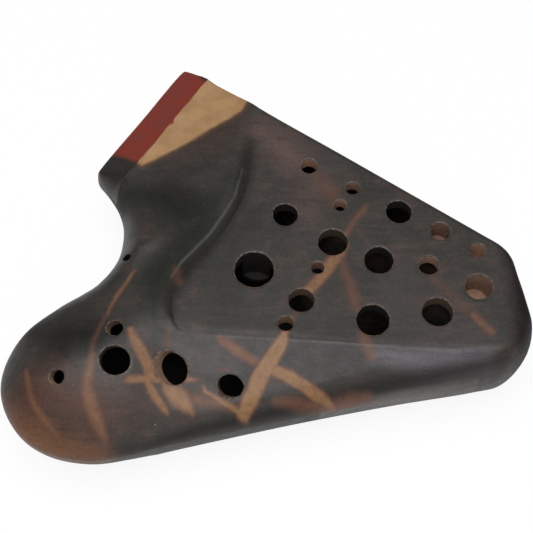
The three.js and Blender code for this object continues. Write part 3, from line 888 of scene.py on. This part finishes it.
def stroke_group():
    """How far a place lies outside one straight stroke that widens from its start to its end."""
    inputs = {"Spot": "Vector", "Start": "Vector", "End": "Vector",
              "StartWidth": "Float", "EndWidth": "Float"}
    tree, net, given, result = shared_group("stroke", inputs, {"Edge": "Float"})
    run = net.vector("SUBTRACT", given["End"], given["Start"])
    off = net.vector("SUBTRACT", given["Spot"], given["Start"])
    share = net.math("DIVIDE", net.vector("DOT_PRODUCT", off, run), net.vector("DOT_PRODUCT", run, run))
    share = net.math("MINIMUM", net.math("MAXIMUM", share, 0.0), 1.0)
    away = net.vector("SUBTRACT", off, net.vector("SCALE", run, scale=share))
    widening = net.math("SUBTRACT", given["EndWidth"], given["StartWidth"])
    width = net.math("MULTIPLY_ADD", widening, share, given["StartWidth"])
    net.feed(result["Edge"], net.math("SUBTRACT", net.vector("LENGTH", away), width))
    return tree


def beyond_group():
    """How far a place lies on the left of the line from a start to an end."""
    inputs = {"Spot": "Vector", "Start": "Vector", "End": "Vector"}
    tree, net, given, result = shared_group("beyond_line", inputs, {"Edge": "Float"})
    run = net.vector("NORMALIZE", net.vector("SUBTRACT", given["End"], given["Start"]))
    turn = net.vector("CROSS_PRODUCT", run, net.vector("SUBTRACT", given["Spot"], given["Start"]))
    net.feed(result["Edge"], net.vector("DOT_PRODUCT", turn, (0, 0, 1)))
    return tree


wander_share = 1.6
fray_share = 0.5


def ragged_group():
    """A place moved a little at random, for edges that wander."""
    inputs = {"Spot": "Vector", "Reach": "Float"}
    tree, net, given, result = shared_group("ragged_spot", inputs, {"Spot": "Vector"})
    moved = given["Spot"]
    for pattern, share in (("wander", wander_share), ("fray", fray_share)):
        shift = net.vector("SUBTRACT", net.noise(given["Spot"], pattern, "Color"), (0.5, 0.5, 0.5))
        reach = net.math("MULTIPLY", given["Reach"], share)
        moved = net.vector("ADD", moved, net.vector("SCALE", shift, scale=reach))
    net.feed(result["Spot"], moved)
    return tree


dot_softness = 0.03


def speck_group():
    """Small scattered spots, one for a few of the cells."""
    inputs = {"Spot": "Vector", "Cell": "Float", "Share": "Float", "Size": "Float"}
    tree, net, given, result = shared_group("specks", inputs, {"Mask": "Float"})
    node = net.nodes.new("ShaderNodeTexVoronoi")
    net.feed(node.inputs["Vector"], given["Spot"])
    net.feed(node.inputs["Scale"], net.math("DIVIDE", 1.0, given["Cell"]))
    split = net.nodes.new("ShaderNodeSeparateColor")
    net.feed(split.inputs[0], node.outputs["Color"])
    chosen = net.math("LESS_THAN", split.outputs[0], given["Share"])
    size = net.math("MULTIPLY", given["Size"], split.outputs[1])
    near = net.ease(net.math("SUBTRACT", node.outputs["Distance"], size), dot_softness, -dot_softness)
    net.feed(result["Mask"], net.math("MULTIPLY", chosen, near))
    return tree


# Height of each unevenness of rubbed clay, the depth of its pores and the slant of the rubbing
burnish_relief = {
    "unevenness": 0.22 * mm, "dimples": 0.06 * mm, "rubbing_lines": 0.012 * mm, "fine_grain": 0.008 * mm,
}
pore_depth = 0.05 * mm
rubbing_slant = math.radians(24)


def burnish_group():
    """Height and gloss of clay rubbed smooth by hand: soft unevenness, fine rubbing lines and pores."""
    outputs = {"Height": "Float", "Gloss": "Float"}
    tree, net, given, result = shared_group("burnish", {"Spot": "Vector"}, outputs)
    slanted = net.nodes.new("ShaderNodeVectorRotate")
    slanted.rotation_type = "Z_AXIS"
    net.feed(slanted.inputs["Vector"], given["Spot"])
    slanted.inputs["Angle"].default_value = rubbing_slant
    spots = {"rubbing_lines": slanted.outputs[0]}
    noises = {name: net.noise(spots.get(name, given["Spot"]), name) for name in burnish_relief}
    height = net.math("MULTIPLY", net.dots(given["Spot"], "pores"), -pore_depth)
    for name, rise in burnish_relief.items():
        height = net.math("MULTIPLY_ADD", noises[name], rise, height)
    net.feed(result["Height"], height)
    both = net.math("ADD", noises["dimples"], noises["rubbing_lines"])
    net.feed(result["Gloss"], net.math("MULTIPLY", both, 0.5))
    return tree


stroke, beyond_line, ragged_spot, specks = stroke_group(), beyond_group(), ragged_group(), speck_group()
burnish = burnish_group()


def least(net, edges):
    """The smallest of some distances."""
    edge = edges[0]
    for other in edges[1:]:
        edge = net.math("MINIMUM", edge, other)
    return edge


def run_edge(net, spot, run):
    """How far a place lies outside a mark whose run is given by shares and half widths in mm."""
    return least(net, [net.use(stroke, Spot=spot, Start=(*place(start), 0), End=(*place(end), 0),
                               StartWidth=start[2] * mm, EndWidth=end[2] * mm)["Edge"]
                       for start, end in zip(run, run[1:])])


def strongest(net, before, mask, strength):
    part = net.math("MULTIPLY", mask, strength)
    return part if before is None else net.math("MAXIMUM", before, part)


def marks_group(name, marks):
    """Where the straw burned away the smoke: the pale middle of the marks and their reddish sides."""
    tree, net, given, result = shared_group(name, {"Spot": "Vector"}, {"Gold": "Float", "Red": "Float"})
    gold = red = None
    for run, crisp, gold_share, red_share, red_reach in marks:
        edge, soft = run_edge(net, given["Spot"], run), crisp * mark_softness
        if gold_share:
            gold = strongest(net, gold, net.ease(edge, soft * mm, -soft * mm), gold_share)
        red = strongest(net, red, net.ease(edge, red_reach * mm, -soft * mm), red_share)
    net.feed(result["Gold"], gold)
    net.feed(result["Red"], red)
    return tree


def tints_group(name, base, tints):
    """The smoke's own colour, tinted in soft patches, some of them painted shade and painted highlights."""
    tree, net, given, result = shared_group(name, {"Spot": "Vector", "Place": "Vector"}, {"Color": "Color"})
    color = net.blend(net.ease(net.noise(given["Place"], "smoke_clouds"), 0.35, 0.65), base[0], base[1])
    mottle = net.ease(net.noise(given["Place"], "smoke_mottle"), 0.42, 0.70, 0.0, 0.75)
    color = net.blend(mottle, color, base[2])
    grain = net.noise(given["Place"], "smoke_grain")
    rubbed = net.noise(given["Place"], "smoke_rubbing")
    color = net.blend(net.ease(rubbed, 0.54, 0.74, 0.0, 0.36), color, rubbed_pale_color)
    for run, soft, tint, strength in tints:
        edge = run_edge(net, given["Spot"], run)
        color = net.blend(net.ease(edge, soft * mm, -soft * mm, 0.0, strength), color, tint)
    color = net.blend(net.ease(rubbed, 0.50, 0.30, 0.0, 0.35), color, rubbed_dark_color)
    color = net.blend(net.ease(grain, 0.52, 0.36, 0.0, 0.26), color, grain_dark_color)
    color = net.blend(net.ease(grain, 0.56, 0.74, 0.0, 0.24), color, grain_pale_color)
    net.feed(result["Color"], color)
    return tree


# Marks on the front: runs of shares with half widths in mm, softness, the strengths of their pale
# middle and of their red sides, and the reach of the red in mm
front_marks = [
    ([(0.300, -0.055, 0.6), (0.275, -0.094, 1.6), (0.220, -0.185, 2.0), (0.150, -0.294, 1.5),
      (0.135, -0.325, 0.6)], 0.7, 0.62, 0.9, 1.8),
    ([(0.385, 0.150, 0.2), (0.365, 0.114, 0.8), (0.324, 0.051, 0.7), (0.296, -0.006, 0.8)],
     0.7, 0.16, 0.50, 1.8),
    ([(0.130, -0.340, 0.8), (0.090, -0.420, 0.6), (0.070, -0.470, 0.9)], 0.8, 0.08, 0.4, 2.0),
    ([(0.068, -0.480, 0.8), (0.055, -0.520, 1.7), (0.029, -0.573, 2.2), (-0.022, -0.667, 2.5),
      (-0.058, -0.756, 2.6), (-0.091, -0.822, 1.9)], 0.5, 0.95, 0.9, 1.7),
    ([(-0.178, -0.517, 0.7), (-0.158, -0.535, 1.4), (-0.100, -0.575, 1.4), (-0.048, -0.614, 1.2)],
     0.7, 0.22, 0.85, 1.6),
    ([(-0.020, -0.633, 1.5), (0.081, -0.679, 1.9), (0.183, -0.743, 1.7), (0.246, -0.772, 0.6)],
     0.5, 0.85, 0.9, 1.6),
    ([(0.030, -0.772, 0.8), (0.130, -0.775, 1.2), (0.246, -0.768, 1.6), (0.313, -0.745, 1.4),
      (0.375, -0.735, 0.8)], 1.0, 0.12, 0.85, 1.8),
    ([(-0.235, -0.712, 0.2), (-0.226, -0.733, 0.6), (-0.168, -0.777, 0.8), (-0.109, -0.809, 1.0),
      (-0.090, -0.822, 1.2)], 0.4, 0.75, 0.9, 1.2),
    ([(-0.321, -0.754, 1.5), (-0.193, -0.786, 1.4), (-0.102, -0.801, 0.9)], 1.0, 0.12, 0.75, 2.0),
    ([(-0.503, -0.490, 0.6), (-0.494, -0.516, 1.0), (-0.468, -0.577, 1.7), (-0.430, -0.663, 1.9),
      (-0.420, -0.690, 1.2)], 0.6, 0.70, 0.95, 1.6),
    ([(-0.440, -0.700, 0.8), (-0.430, -0.720, 1.1), (-0.405, -0.770, 1.3), (-0.378, -0.808, 0.9),
      (-0.366, -0.825, 0.3)], 0.5, 0.75, 0.8, 1.5),
    ([(-0.372, -0.695, 1.4), (-0.358, -0.720, 2.1), (-0.325, -0.765, 2.8), (-0.296, -0.798, 1.8),
      (-0.272, -0.824, 0.3)], 0.9, 0.88, 0.85, 1.8),
    ([(-0.512, -0.712, 0.4), (-0.500, -0.706, 1.0), (-0.430, -0.692, 1.2), (-0.307, -0.683, 0.9),
      (-0.265, -0.683, 0.3)], 0.5, 0.70, 0.85, 1.4),
    ([(-0.636, -0.600, 0.2), (-0.646, -0.640, 0.6), (-0.655, -0.732, 1.2), (-0.640, -0.809, 1.8),
      (-0.612, -0.883, 1.3), (-0.589, -0.940, 0.2)], 1.2, 0.46, 0.80, 2.4),
    ([(-0.885, -0.650, 0.2), (-0.881, -0.682, 0.4), (-0.861, -0.776, 0.6), (-0.808, -0.858, 0.7),
      (-0.760, -0.919, 0.2)], 0.8, 0.32, 0.70, 1.8),
    ([(-0.503, -0.195, 0.2), (-0.519, -0.228, 0.5), (-0.560, -0.314, 0.6), (-0.595, -0.411, 0.4)],
     0.35, 0.22, 0.85, 0.9),
    ([(-0.595, -0.411, 0.3), (-0.633, -0.528, 0.4), (-0.646, -0.629, 0.3)], 0.6, 0.08, 0.45, 1.6),
    ([(0.600, -0.190, 0.9), (0.680, -0.300, 1.6), (0.750, -0.390, 1.4)], 1.2, 0.0, 0.30, 2.4),
    ([(0.765, -0.408, 0.9), (0.790, -0.440, 1.3), (0.825, -0.488, 0.9)], 0.8, 0.22, 0.65, 1.8),
    ([(0.278, -0.134, 0.7), (0.300, -0.220, 1.0), (0.318, -0.300, 1.3), (0.331, -0.373, 0.8)],
     0.9, 0.03, 0.60, 2.4),
    ([(0.345, -0.500, 1.2), (0.355, -0.530, 2.0), (0.380, -0.590, 1.6)], 1.0, 0.12, 0.55, 1.6),
    ([(0.213, 0.290, 1.8), (0.243, 0.221, 2.4), (0.273, 0.162, 1.0)], 2.0, 0.0, 0.45, 4.0),
    ([(-0.365, -0.470, 0.4), (-0.368, -0.543, 0.7)], 0.8, 0.0, 0.50, 1.6),
    ([(-0.345, -0.195, 0.5), (-0.337, -0.240, 0.9)], 0.8, 0.0, 0.55, 2.2),
    ([(-0.188, -0.652, 0.5), (-0.150, -0.648, 0.5)], 0.3, 0.0, 0.55, 0.6),
]
smoke_colors = ((0.026, 0.024, 0.021), (0.033, 0.032, 0.028), (0.054, 0.036, 0.031))
# Widths of the painted shade along the plate's rim
rim_shade_widths = (0.3, 0.7, 1.0, 1.1, 1.1, 1.1, 1.0, 1.0, 1.0, 0.6)
rim_shade_run = [(*share, wide) for share, wide in zip(plate_rim_shares[2:], rim_shade_widths)]
# Soft patches on the front: runs of shares with half widths in mm, softness in mm, colour and strength; some
# are painted shade and painted highlights, noted where they stand
front_tints = [
    ([(-0.560, 0.250, 4.0), (-0.400, 0.200, 9.0), (-0.250, 0.050, 8.0), (-0.320, -0.100, 6.0),
      (-0.420, -0.200, 5.0)], 9.0, (0.006, 0.007, 0.005), 0.9),
    ([(-0.860, -0.470, 3.0), (-0.700, -0.520, 8.0), (-0.560, -0.520, 4.0)], 8.0, (0.004, 0.004, 0.003), 0.94),
    ([(-0.060, 0.500, 1.5), (-0.110, 0.300, 2.5), (-0.170, 0.200, 4.0), (-0.245, 0.047, 5.0),
      (-0.330, -0.090, 5.0), (-0.410, -0.240, 5.0), (-0.430, -0.400, 3.0)], 4.5, (0.013, 0.014, 0.011), 0.85),
    ([(-0.150, -0.600, 4.0), (0.150, -0.600, 6.0), (0.374, -0.590, 5.0)], 5.0, (0.030, 0.025, 0.026), 0.8),
    # Painted highlight: a pale bluish sheen band on the bevel just below the crease, right half
    ([(0.400, -0.585, 2.0), (0.560, -0.612, 3.0), (0.800, -0.600, 2.0)], 3.6, (0.110, 0.104, 0.118), 0.85),
    ([(-0.300, -0.600, 3.0), (-0.150, -0.610, 4.0)], 5.0, (0.056, 0.046, 0.042), 0.7),
    ([(-0.500, -0.790, 6.0), (-0.250, -0.780, 4.0)], 7.0, (0.056, 0.035, 0.032), 0.8),
    ([(-0.820, -0.760, 8.0), (-0.620, -0.820, 7.0)], 9.0, (0.076, 0.033, 0.023), 0.85),
    ([(-0.080, 0.100, 4.0), (-0.180, -0.220, 6.0), (-0.160, -0.400, 4.0)], 9.0, (0.016, 0.016, 0.013), 0.85),
    ([(0.000, -0.440, 3.0), (0.250, -0.480, 3.0), (0.500, -0.500, 2.0)], 7.0, (0.022, 0.021, 0.019), 0.7),
    # Painted shade: a dark band along the step from the hump down to the plate
    (rim_shade_run, 2.4, (0.006, 0.006, 0.005), 0.85),
    # Painted highlight: a thin pale line on the hump's edge above the step to the plate
    ([(-0.100, 0.330, 0.1), (-0.130, 0.180, 0.3), (-0.172, 0.085, 0.35), (-0.218, -0.006, 0.35),
      (-0.270, -0.080, 0.35), (-0.322, -0.150, 0.3), (-0.362, -0.230, 0.2)], 0.6, (0.085, 0.085, 0.075), 0.7),
    ([(0.080, 0.450, 4.0), (0.180, 0.260, 5.0), (0.170, 0.090, 3.0)], 8.0, (0.075, 0.046, 0.041), 0.7),
    ([(0.640, -0.330, 3.0), (0.750, -0.430, 3.0)], 6.0, (0.050, 0.033, 0.032), 0.7),
    ([(-0.380, 0.420, 2.0), (-0.220, 0.510, 4.0), (-0.090, 0.620, 3.0)], 7.0, (0.046, 0.030, 0.025), 0.8),
    ([(-0.020, 0.560, 3.0), (0.080, 0.420, 3.0)], 9.0, (0.105, 0.062, 0.055), 0.85),
    ([(-0.245, -0.501, 0.2), (0.242, -0.538, 0.25), (0.702, -0.583, 0.2)], 0.6, (0.100, 0.094, 0.094), 0.5),
    ([(-0.245, -0.484, 0.2), (0.242, -0.520, 0.2), (0.702, -0.564, 0.2)], 0.5, (0.009, 0.008, 0.008), 0.6),
    ([(0.500, -0.330, 5.0), (0.700, -0.440, 5.0)], 9.0, (0.042, 0.031, 0.030), 0.6),
    ([(-0.680, -0.340, 3.0), (-0.560, -0.330, 2.0)], 8.0, (0.040, 0.031, 0.026), 0.6),
]
# Patches that run over the edge of the body from the front to the back; the last is painted shade on the
# rounded right end
edge_tints = [
    ([(-0.860, -0.420, 2.0), (-0.700, -0.340, 4.0), (-0.600, -0.240, 3.0)], 7.0, (0.014, 0.014, 0.011), 0.8),
    ([(-0.980, -0.800, 1.5), (-0.900, -0.900, 3.5), (-0.780, -0.970, 3.0), (-0.600, -0.992, 0.8)],
     8.0, (0.21, 0.088, 0.041), 0.85),
    ([(-0.394, -0.915, 0.6), (-0.066, -0.832, 1.4), (0.119, -0.781, 1.6), (0.302, -0.734, 1.8),
      (0.494, -0.686, 1.8), (0.627, -0.655, 1.5), (0.880, -0.600, 1.2)], 2.2, (0.010, 0.008, 0.008), 0.95),
    ([(0.200, -0.783, 0.5), (0.480, -0.720, 0.9), (0.640, -0.684, 0.4), (0.780, -0.652, 0.0)],
     1.0, (0.130, 0.118, 0.110), 0.9),
    # Painted shade: the rounded right end darkened nearly to black
    ([(0.895, -0.045, 1.2), (0.950, -0.200, 3.6), (0.960, -0.340, 4.6), (0.935, -0.500, 2.4)],
     4.0, (0.005, 0.002, 0.002), 0.96),
]
back_marks = [
    ([(-0.780, -0.520, 0.6), (-0.700, -0.640, 2.0), (-0.600, -0.780, 2.2), (-0.560, -0.860, 0.6)],
     0.7, 0.80, 0.90, 1.8),
    ([(-0.820, -0.760, 0.5), (-0.660, -0.740, 1.4), (-0.480, -0.760, 1.3), (-0.400, -0.790, 0.4)],
     0.7, 0.70, 0.85, 1.6),
    ([(-0.300, -0.300, 0.4), (-0.220, -0.450, 1.6), (-0.160, -0.620, 2.0), (-0.140, -0.760, 0.8)],
     0.7, 0.75, 0.90, 1.8),
    ([(-0.050, -0.640, 0.5), (0.080, -0.560, 1.6), (0.240, -0.500, 1.4), (0.330, -0.440, 0.4)],
     0.8, 0.50, 0.85, 1.8),
    ([(0.150, 0.350, 0.4), (0.220, 0.200, 1.4), (0.280, 0.050, 1.2), (0.300, -0.040, 0.4)],
     0.8, 0.35, 0.80, 2.0),
    ([(0.420, -0.180, 0.4), (0.560, -0.260, 1.6), (0.720, -0.340, 1.6), (0.840, -0.420, 0.5)],
     0.8, 0.55, 0.85, 1.8),
    ([(0.620, 0.060, 0.3), (0.660, -0.080, 1.0), (0.680, -0.240, 1.2), (0.670, -0.340, 0.4)],
     0.9, 0.20, 0.70, 2.0),
    ([(-0.420, 0.050, 0.3), (-0.340, -0.060, 0.9), (-0.260, -0.200, 0.6)], 0.9, 0.15, 0.70, 1.8),
]
back_tints = [
    ([(-0.700, -0.560, 8.0), (-0.450, -0.640, 7.0)], 10.0, (0.060, 0.036, 0.031), 0.8),
    ([(0.200, -0.250, 8.0), (0.560, -0.200, 8.0)], 12.0, (0.045, 0.034, 0.031), 0.7),
    ([(-0.450, 0.250, 6.0), (-0.200, 0.450, 8.0)], 10.0, (0.048, 0.031, 0.025), 0.8),
]
# Where the smoke left the clay dull
dull_runs = [
    [(-0.560, 0.250, 4.0), (-0.300, 0.150, 12.0), (-0.300, -0.080, 10.0), (-0.430, -0.300, 8.0)],
    [(-0.880, -0.440, 4.0), (-0.660, -0.430, 9.0), (-0.430, -0.300, 6.0)],
    [(0.920, -0.050, 3.0), (0.970, -0.230, 6.0), (0.970, -0.380, 7.0), (0.940, -0.520, 4.0)],
]
dull_softness = 7 * mm
clay_wander = 0.9 * mm
mark_softness = 1.5
gold_color = (0.225, 0.120, 0.053)
red_color = (0.115, 0.044, 0.026)
beige_color = (0.33, 0.195, 0.095)
beige_shade_color = (0.27, 0.155, 0.070)
beige_fringe_color = (0.095, 0.048, 0.028)
bare_color = (0.38, 0.225, 0.155)
bore_color = (0.013, 0.011, 0.010)
# Near black inside the chambers: soot, deepened into painted shade
chamber_soot_and_shade_color = (0.004, 0.0035, 0.003)
# Hole rims: pale chipped clay with a painted highlight on the rounded rim
rim_clay_and_highlight_color = (0.19, 0.150, 0.12)
pale_dot_color = (0.42, 0.36, 0.30)
dark_dot_color = (0.012, 0.010, 0.010)
rubbed_dark_color = (0.015, 0.013, 0.012)
rubbed_pale_color = (0.090, 0.060, 0.052)
grain_dark_color = (0.008, 0.007, 0.006)
grain_pale_color = (0.095, 0.080, 0.072)

# Depths in a hole, in millimetres: its pale rim, chipped clay with a painted highlight, the end of the rim,
# the bore and the chamber behind it, painted near black as soot and painted shade
rim_start, rim_full = 0.01, 0.12
rim_fading, rim_end = 0.25, 0.55
bore_start, bore_full = 0.3, 0.7
chamber_start, chamber_full = 4.4, 5.2

# Edge of the smoke on the mouthpiece, and the corner of the lip that it covers
smoke_edge_shares = [(-0.520, 0.360), (-0.329, 0.503), (-0.120, 0.640), (-0.062, 0.780)]
smoke_fringe = (-2.4 * mm, 0.3 * mm)
smoke_softness = (-0.7 * mm, 1.1 * mm)
smoked_lip = 19.5 * mm
smoked_lip_start = tip_middle - across_lip * smoked_lip
smoked_lip_run = [smoked_lip_start, smoked_lip_start + along_air]


def start_material(name):
    """A new material with its net, its shader and the place in the piece's own frame."""
    material = bpy.data.materials.new(name)
    material.use_nodes = True
    net = Net(material.node_tree)
    return material, net, net.nodes["Principled BSDF"], net.nodes.new("ShaderNodeTexCoord").outputs["Object"]


def dress(net, shader, color, rough, height, bump_strength=1.0):
    """Feeds the colour, the roughness and the height of a finish to its shader."""
    bump = net.nodes.new("ShaderNodeBump")
    bump.inputs["Distance"].default_value = 1.0
    bump.inputs["Strength"].default_value = bump_strength
    net.feed(bump.inputs["Height"], height)
    net.feed(shader.inputs["Base Color"], color)
    net.feed(shader.inputs["Roughness"], rough)
    net.feed(shader.inputs["Normal"], bump.outputs[0])


def add_mask(net, color, mask, strength, tint):
    return net.blend(net.math("MULTIPLY", mask, strength), color, tint)


def beyond_run(net, spot, run):
    """How far a place lies on the left of all the lines of a run."""
    return least(net, [net.use(beyond_line, Spot=spot, Start=(*start, 0), End=(*end, 0))["Edge"]
                       for start, end in zip(run, run[1:])])


def add_beige(net, spot, color):
    """The clay above the windways that the smoke left bare, behind the crease of the mouthpiece."""
    edge = net.math("MINIMUM", beyond_run(net, spot, [place(share) for share in smoke_edge_shares]),
                    beyond_run(net, spot, smoked_lip_run))
    color = net.blend(net.ease(edge, *smoke_fringe, 0.0, 0.75), color, beige_fringe_color)
    bare = net.ease(edge, *smoke_softness)
    clouds = net.ease(net.noise(spot, "beige_clouds"), 0.35, 0.7)
    return net.blend(bare, color, net.blend(clouds, beige_color, beige_shade_color)), bare


def add_bores(net, spot, color):
    """The pale rims of the holes, chipped clay with a painted highlight, the clay of their walls, and the
    chambers behind painted near black: soot and painted shade.
    """
    depth = net.attribute("depth")
    chips = net.noise(spot, "rim_chips")
    rim = net.math("MULTIPLY", net.ease(depth, rim_start, rim_full), net.ease(depth, rim_end, rim_fading))
    rim = net.math("MULTIPLY", rim, net.ease(chips, 0.36, 0.62, 0.12, 0.8))
    # Painted highlight and chipped clay on the rim of each hole
    color = net.blend(rim, color, rim_clay_and_highlight_color)
    wall = net.math("MULTIPLY", net.attribute("bare"), net.ease(chips, 0.3, 0.7, 0.75, 1.0))
    in_bore = net.ease(depth, bore_start, bore_full)
    color = net.blend(in_bore, color, net.blend(wall, bore_color, bare_color))
    beside = net.ease(net.attribute("bored"), 0.6, 0.4)
    # Painted shade: the chambers' inner walls seen through the holes turn near black
    chamber = net.math("MULTIPLY", net.ease(depth, chamber_start, chamber_full), beside)
    return net.blend(chamber, color, chamber_soot_and_shade_color), in_bore


def clay_material(name, marks, tints):
    """Smoke-fired clay: burnished dark skin, straw marks, and paler clay in the holes' walls."""
    material, net, shader, spot = start_material(name)
    flat = net.vector("MULTIPLY", spot, (1, 1, 0))
    wandering = net.use(ragged_spot, Spot=flat, Reach=clay_wander)["Spot"]
    burnt = net.use(marks, Spot=wandering)
    color = net.use(tints, Spot=flat, Place=spot)["Color"]
    streaks = net.noise(spot, "mark_streaks")
    color = add_mask(net, color, burnt["Red"], net.ease(streaks, 0.2, 0.6, 0.6, 1.0), red_color)
    color = add_mask(net, color, burnt["Gold"], net.ease(streaks, 0.30, 0.62, 0.55, 1.0), gold_color)
    color, bare = add_beige(net, wandering, color)
    color = add_mask(net, color, net.dots(spot, "pale_dots"), 0.7, pale_dot_color)
    color = add_mask(net, color, net.dots(spot, "dark_dots"), 0.5, dark_dot_color)
    color, in_bore = add_bores(net, spot, color)
    dull = least(net, [run_edge(net, flat, run) for run in dull_runs])
    rubbed = net.use(burnish, Spot=spot)
    rough = net.ease(rubbed["Gloss"], 0.3, 0.7, 0.36, 0.50)
    rough = net.math("MAXIMUM", rough, net.math("MULTIPLY", in_bore, 0.85))
    rough = net.math("MULTIPLY_ADD", bare, 0.14, rough)
    rough = net.math("ADD", rough, net.ease(dull, -dull_softness, dull_softness, 0.42, 0.0))
    shader.inputs["Specular IOR Level"].default_value = 0.24
    dress(net, shader, color, rough, rubbed["Height"], 0.6)
    return material


# The glaze's colours, the edges of the smoke on it, and its unevenness
glaze_color = (0.180, 0.024, 0.013)
glaze_shade_color = (0.148, 0.025, 0.017)
glaze_grain_color = (0.20, 0.050, 0.028)
glaze_fringe_color = (0.085, 0.022, 0.014)
glaze_dot_color = (0.42, 0.27, 0.20)
smoked_glaze_color = (0.020, 0.016, 0.014)
glaze_wander_reach = 1.6 * mm
smoked_corner_run = [(-0.278, 0.925, 0.8), (-0.258, 0.900, 1.3), (-0.240, 0.885, 1.2)]
glaze_fringe = (2.2 * mm, 0.2 * mm)
glaze_smoke_low = (0.9 * mm, -0.8 * mm)
glaze_smoke_high = (1.2 * mm, -0.8 * mm)
glaze_grain_rise = 0.02 * mm
glaze_cloud_rise = 0.18 * mm


def glaze_material():
    """Red-brown glaze, smoked dark at both corners of the lip."""
    material, net, shader, spot = start_material("lip_glaze")
    flat = net.vector("MULTIPLY", spot, (1, 1, 0))
    wandering = net.use(ragged_spot, Spot=flat, Reach=glaze_wander_reach)["Spot"]
    clouds = net.noise(spot, "glaze_clouds")
    grain = net.noise(spot, "glaze_grain")
    color = net.blend(net.ease(clouds, 0.35, 0.68), glaze_color, glaze_shade_color)
    color = net.blend(net.ease(grain, 0.5, 0.75, 0.0, 0.3), color, glaze_grain_color)
    low = beyond_run(net, wandering, smoked_lip_run)
    color = net.blend(net.ease(low, *glaze_fringe), color, glaze_fringe_color)
    color = net.blend(net.ease(low, *glaze_smoke_low), color, smoked_glaze_color)
    high = net.ease(run_edge(net, wandering, smoked_corner_run), *glaze_smoke_high, 0.0, 0.9)
    color = net.blend(high, color, smoked_glaze_color)
    color = add_mask(net, color, net.dots(spot, "glaze_dots"), 0.75, glaze_dot_color)
    height = net.math("MULTIPLY_ADD", grain, glaze_grain_rise, net.math("MULTIPLY", clouds, glaze_cloud_rise))
    shader.inputs["Specular IOR Level"].default_value = 0.3
    dress(net, shader, color, net.ease(clouds, 0.3, 0.7, 0.30, 0.42), height)
    return material


inner_soot_color = (0.012, 0.010, 0.009)
inner_color = (0.075, 0.043, 0.028)
inner_grain_color = (0.13, 0.08, 0.055)
inner_grain_rise = 0.08 * mm
inner_roughness = 0.88


def inner_material():
    """Unburnished clay inside: brown under patchy soot, with a coarse grain."""
    material, net, shader, spot = start_material("bare_clay")
    grain = net.noise(spot, "inner_grain")
    color = net.blend(net.ease(net.noise(spot, "inner_clouds"), 0.35, 0.65), inner_soot_color, inner_color)
    color = net.blend(net.ease(grain, 0.55, 0.8, 0.0, 0.35), color, inner_grain_color)
    dress(net, shader, color, inner_roughness, net.math("MULTIPLY", grain, inner_grain_rise))
    return material


front_marks_tree = marks_group("front_marks", front_marks)
front_tints_tree = tints_group("front_tints", smoke_colors, front_tints + edge_tints)
back_marks_tree = marks_group("back_marks", back_marks)
back_tints_tree = tints_group("back_tints", smoke_colors, back_tints + edge_tints)


def show_camera(tree, lit, seen, share, output):
    """Shows the camera one shader, by a share, in place of the one that lights the rest."""
    net = Net(tree)
    blend = net.nodes.new("ShaderNodeMixShader")
    camera_ray = net.nodes.new("ShaderNodeLightPath").outputs["Is Camera Ray"]
    net.feed(blend.inputs[0], net.math("MULTIPLY", camera_ray, share))
    net.feed(blend.inputs[1], lit.outputs[0])
    net.feed(blend.inputs[2], seen.outputs[0])
    net.feed(net.nodes[output].inputs["Surface"], blend.outputs[0])


floor_size = 6.0
floor_gap = 0.2 * mm
floor_glow = 0.9
floor_color = (0.86, 0.86, 0.86, 1)
white = (1, 1, 1, 1)


def stage_floor():
    """A pale floor that shows white to the camera and keeps a soft shadow."""
    bpy.ops.object.select_all(action="DESELECT")
    bpy.ops.mesh.primitive_plane_add(size=floor_size, location=(0, 0, -floor_gap))
    floor = bpy.context.object
    floor.name = "floor"
    bpy.ops.object.transform_apply(location=True, rotation=True, scale=True)
    material, net, shader, _ = start_material("pale_floor")
    shader.inputs["Base Color"].default_value = floor_color
    shader.inputs["Roughness"].default_value = 0.9
    glow = net.nodes.new("ShaderNodeEmission")
    show_camera(material.node_tree, shader, glow, floor_glow, "Material Output")
    floor.data.materials.append(material)


def softbox(name, azimuth, elevation, distance, size, power):
    """A square lamp that faces the body, placed by its direction as the camera is."""
    a, e = math.radians(azimuth), math.radians(elevation)
    way = Vector((math.sin(a) * math.cos(e), -math.cos(a) * math.cos(e), math.sin(e)))
    bpy.ops.object.light_add(type="AREA", location=way * distance)
    lamp = bpy.context.object
    lamp.name = name
    lamp.rotation_euler = (-way).to_track_quat("-Z", "Y").to_euler()
    lamp.data.shape = "SQUARE"
    lamp.data.size = size
    lamp.data.energy = power


# Lamps by azimuth and elevation in degrees, distance and size in metres, and power in watts
lamps = {"key_lamp": (-20, 84, 1.1, 1.0, 15), "near_lamp": (10, 30, 1.2, 0.7, 2.0)}
world_level = 0.14


def studio():
    world = bpy.data.worlds.new("studio")
    bpy.context.scene.world = world
    world.use_nodes = True
    sky_light = world.node_tree.nodes["Background"]
    sky_light.inputs["Color"].default_value = white
    sky_light.inputs["Strength"].default_value = world_level
    seen = world.node_tree.nodes.new("ShaderNodeBackground")
    seen.inputs["Color"].default_value = white
    show_camera(world.node_tree, sky_light, seen, 1.0, "World Output")
    for name, values in lamps.items():
        softbox(name, *values)
    bpy.context.scene.view_settings.view_transform = "Standard"


stage_floor()
studio()

front.data.materials.append(clay_material("smoked_clay", front_marks_tree, front_tints_tree))
back.data.materials.append(clay_material("smoked_clay_back", back_marks_tree, back_tints_tree))
glaze.data.materials.append(glaze_material())
inner = inner_material()

for node in ("low_middle_partition", "middle_high_partition", "windway_floor", "windway_roof",
             "low_middle_windway_divider", "middle_high_windway_divider",
             "low_labium", "middle_labium", "high_labium"):
    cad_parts[node].data.materials.clear()
    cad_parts[node].data.materials.append(inner)
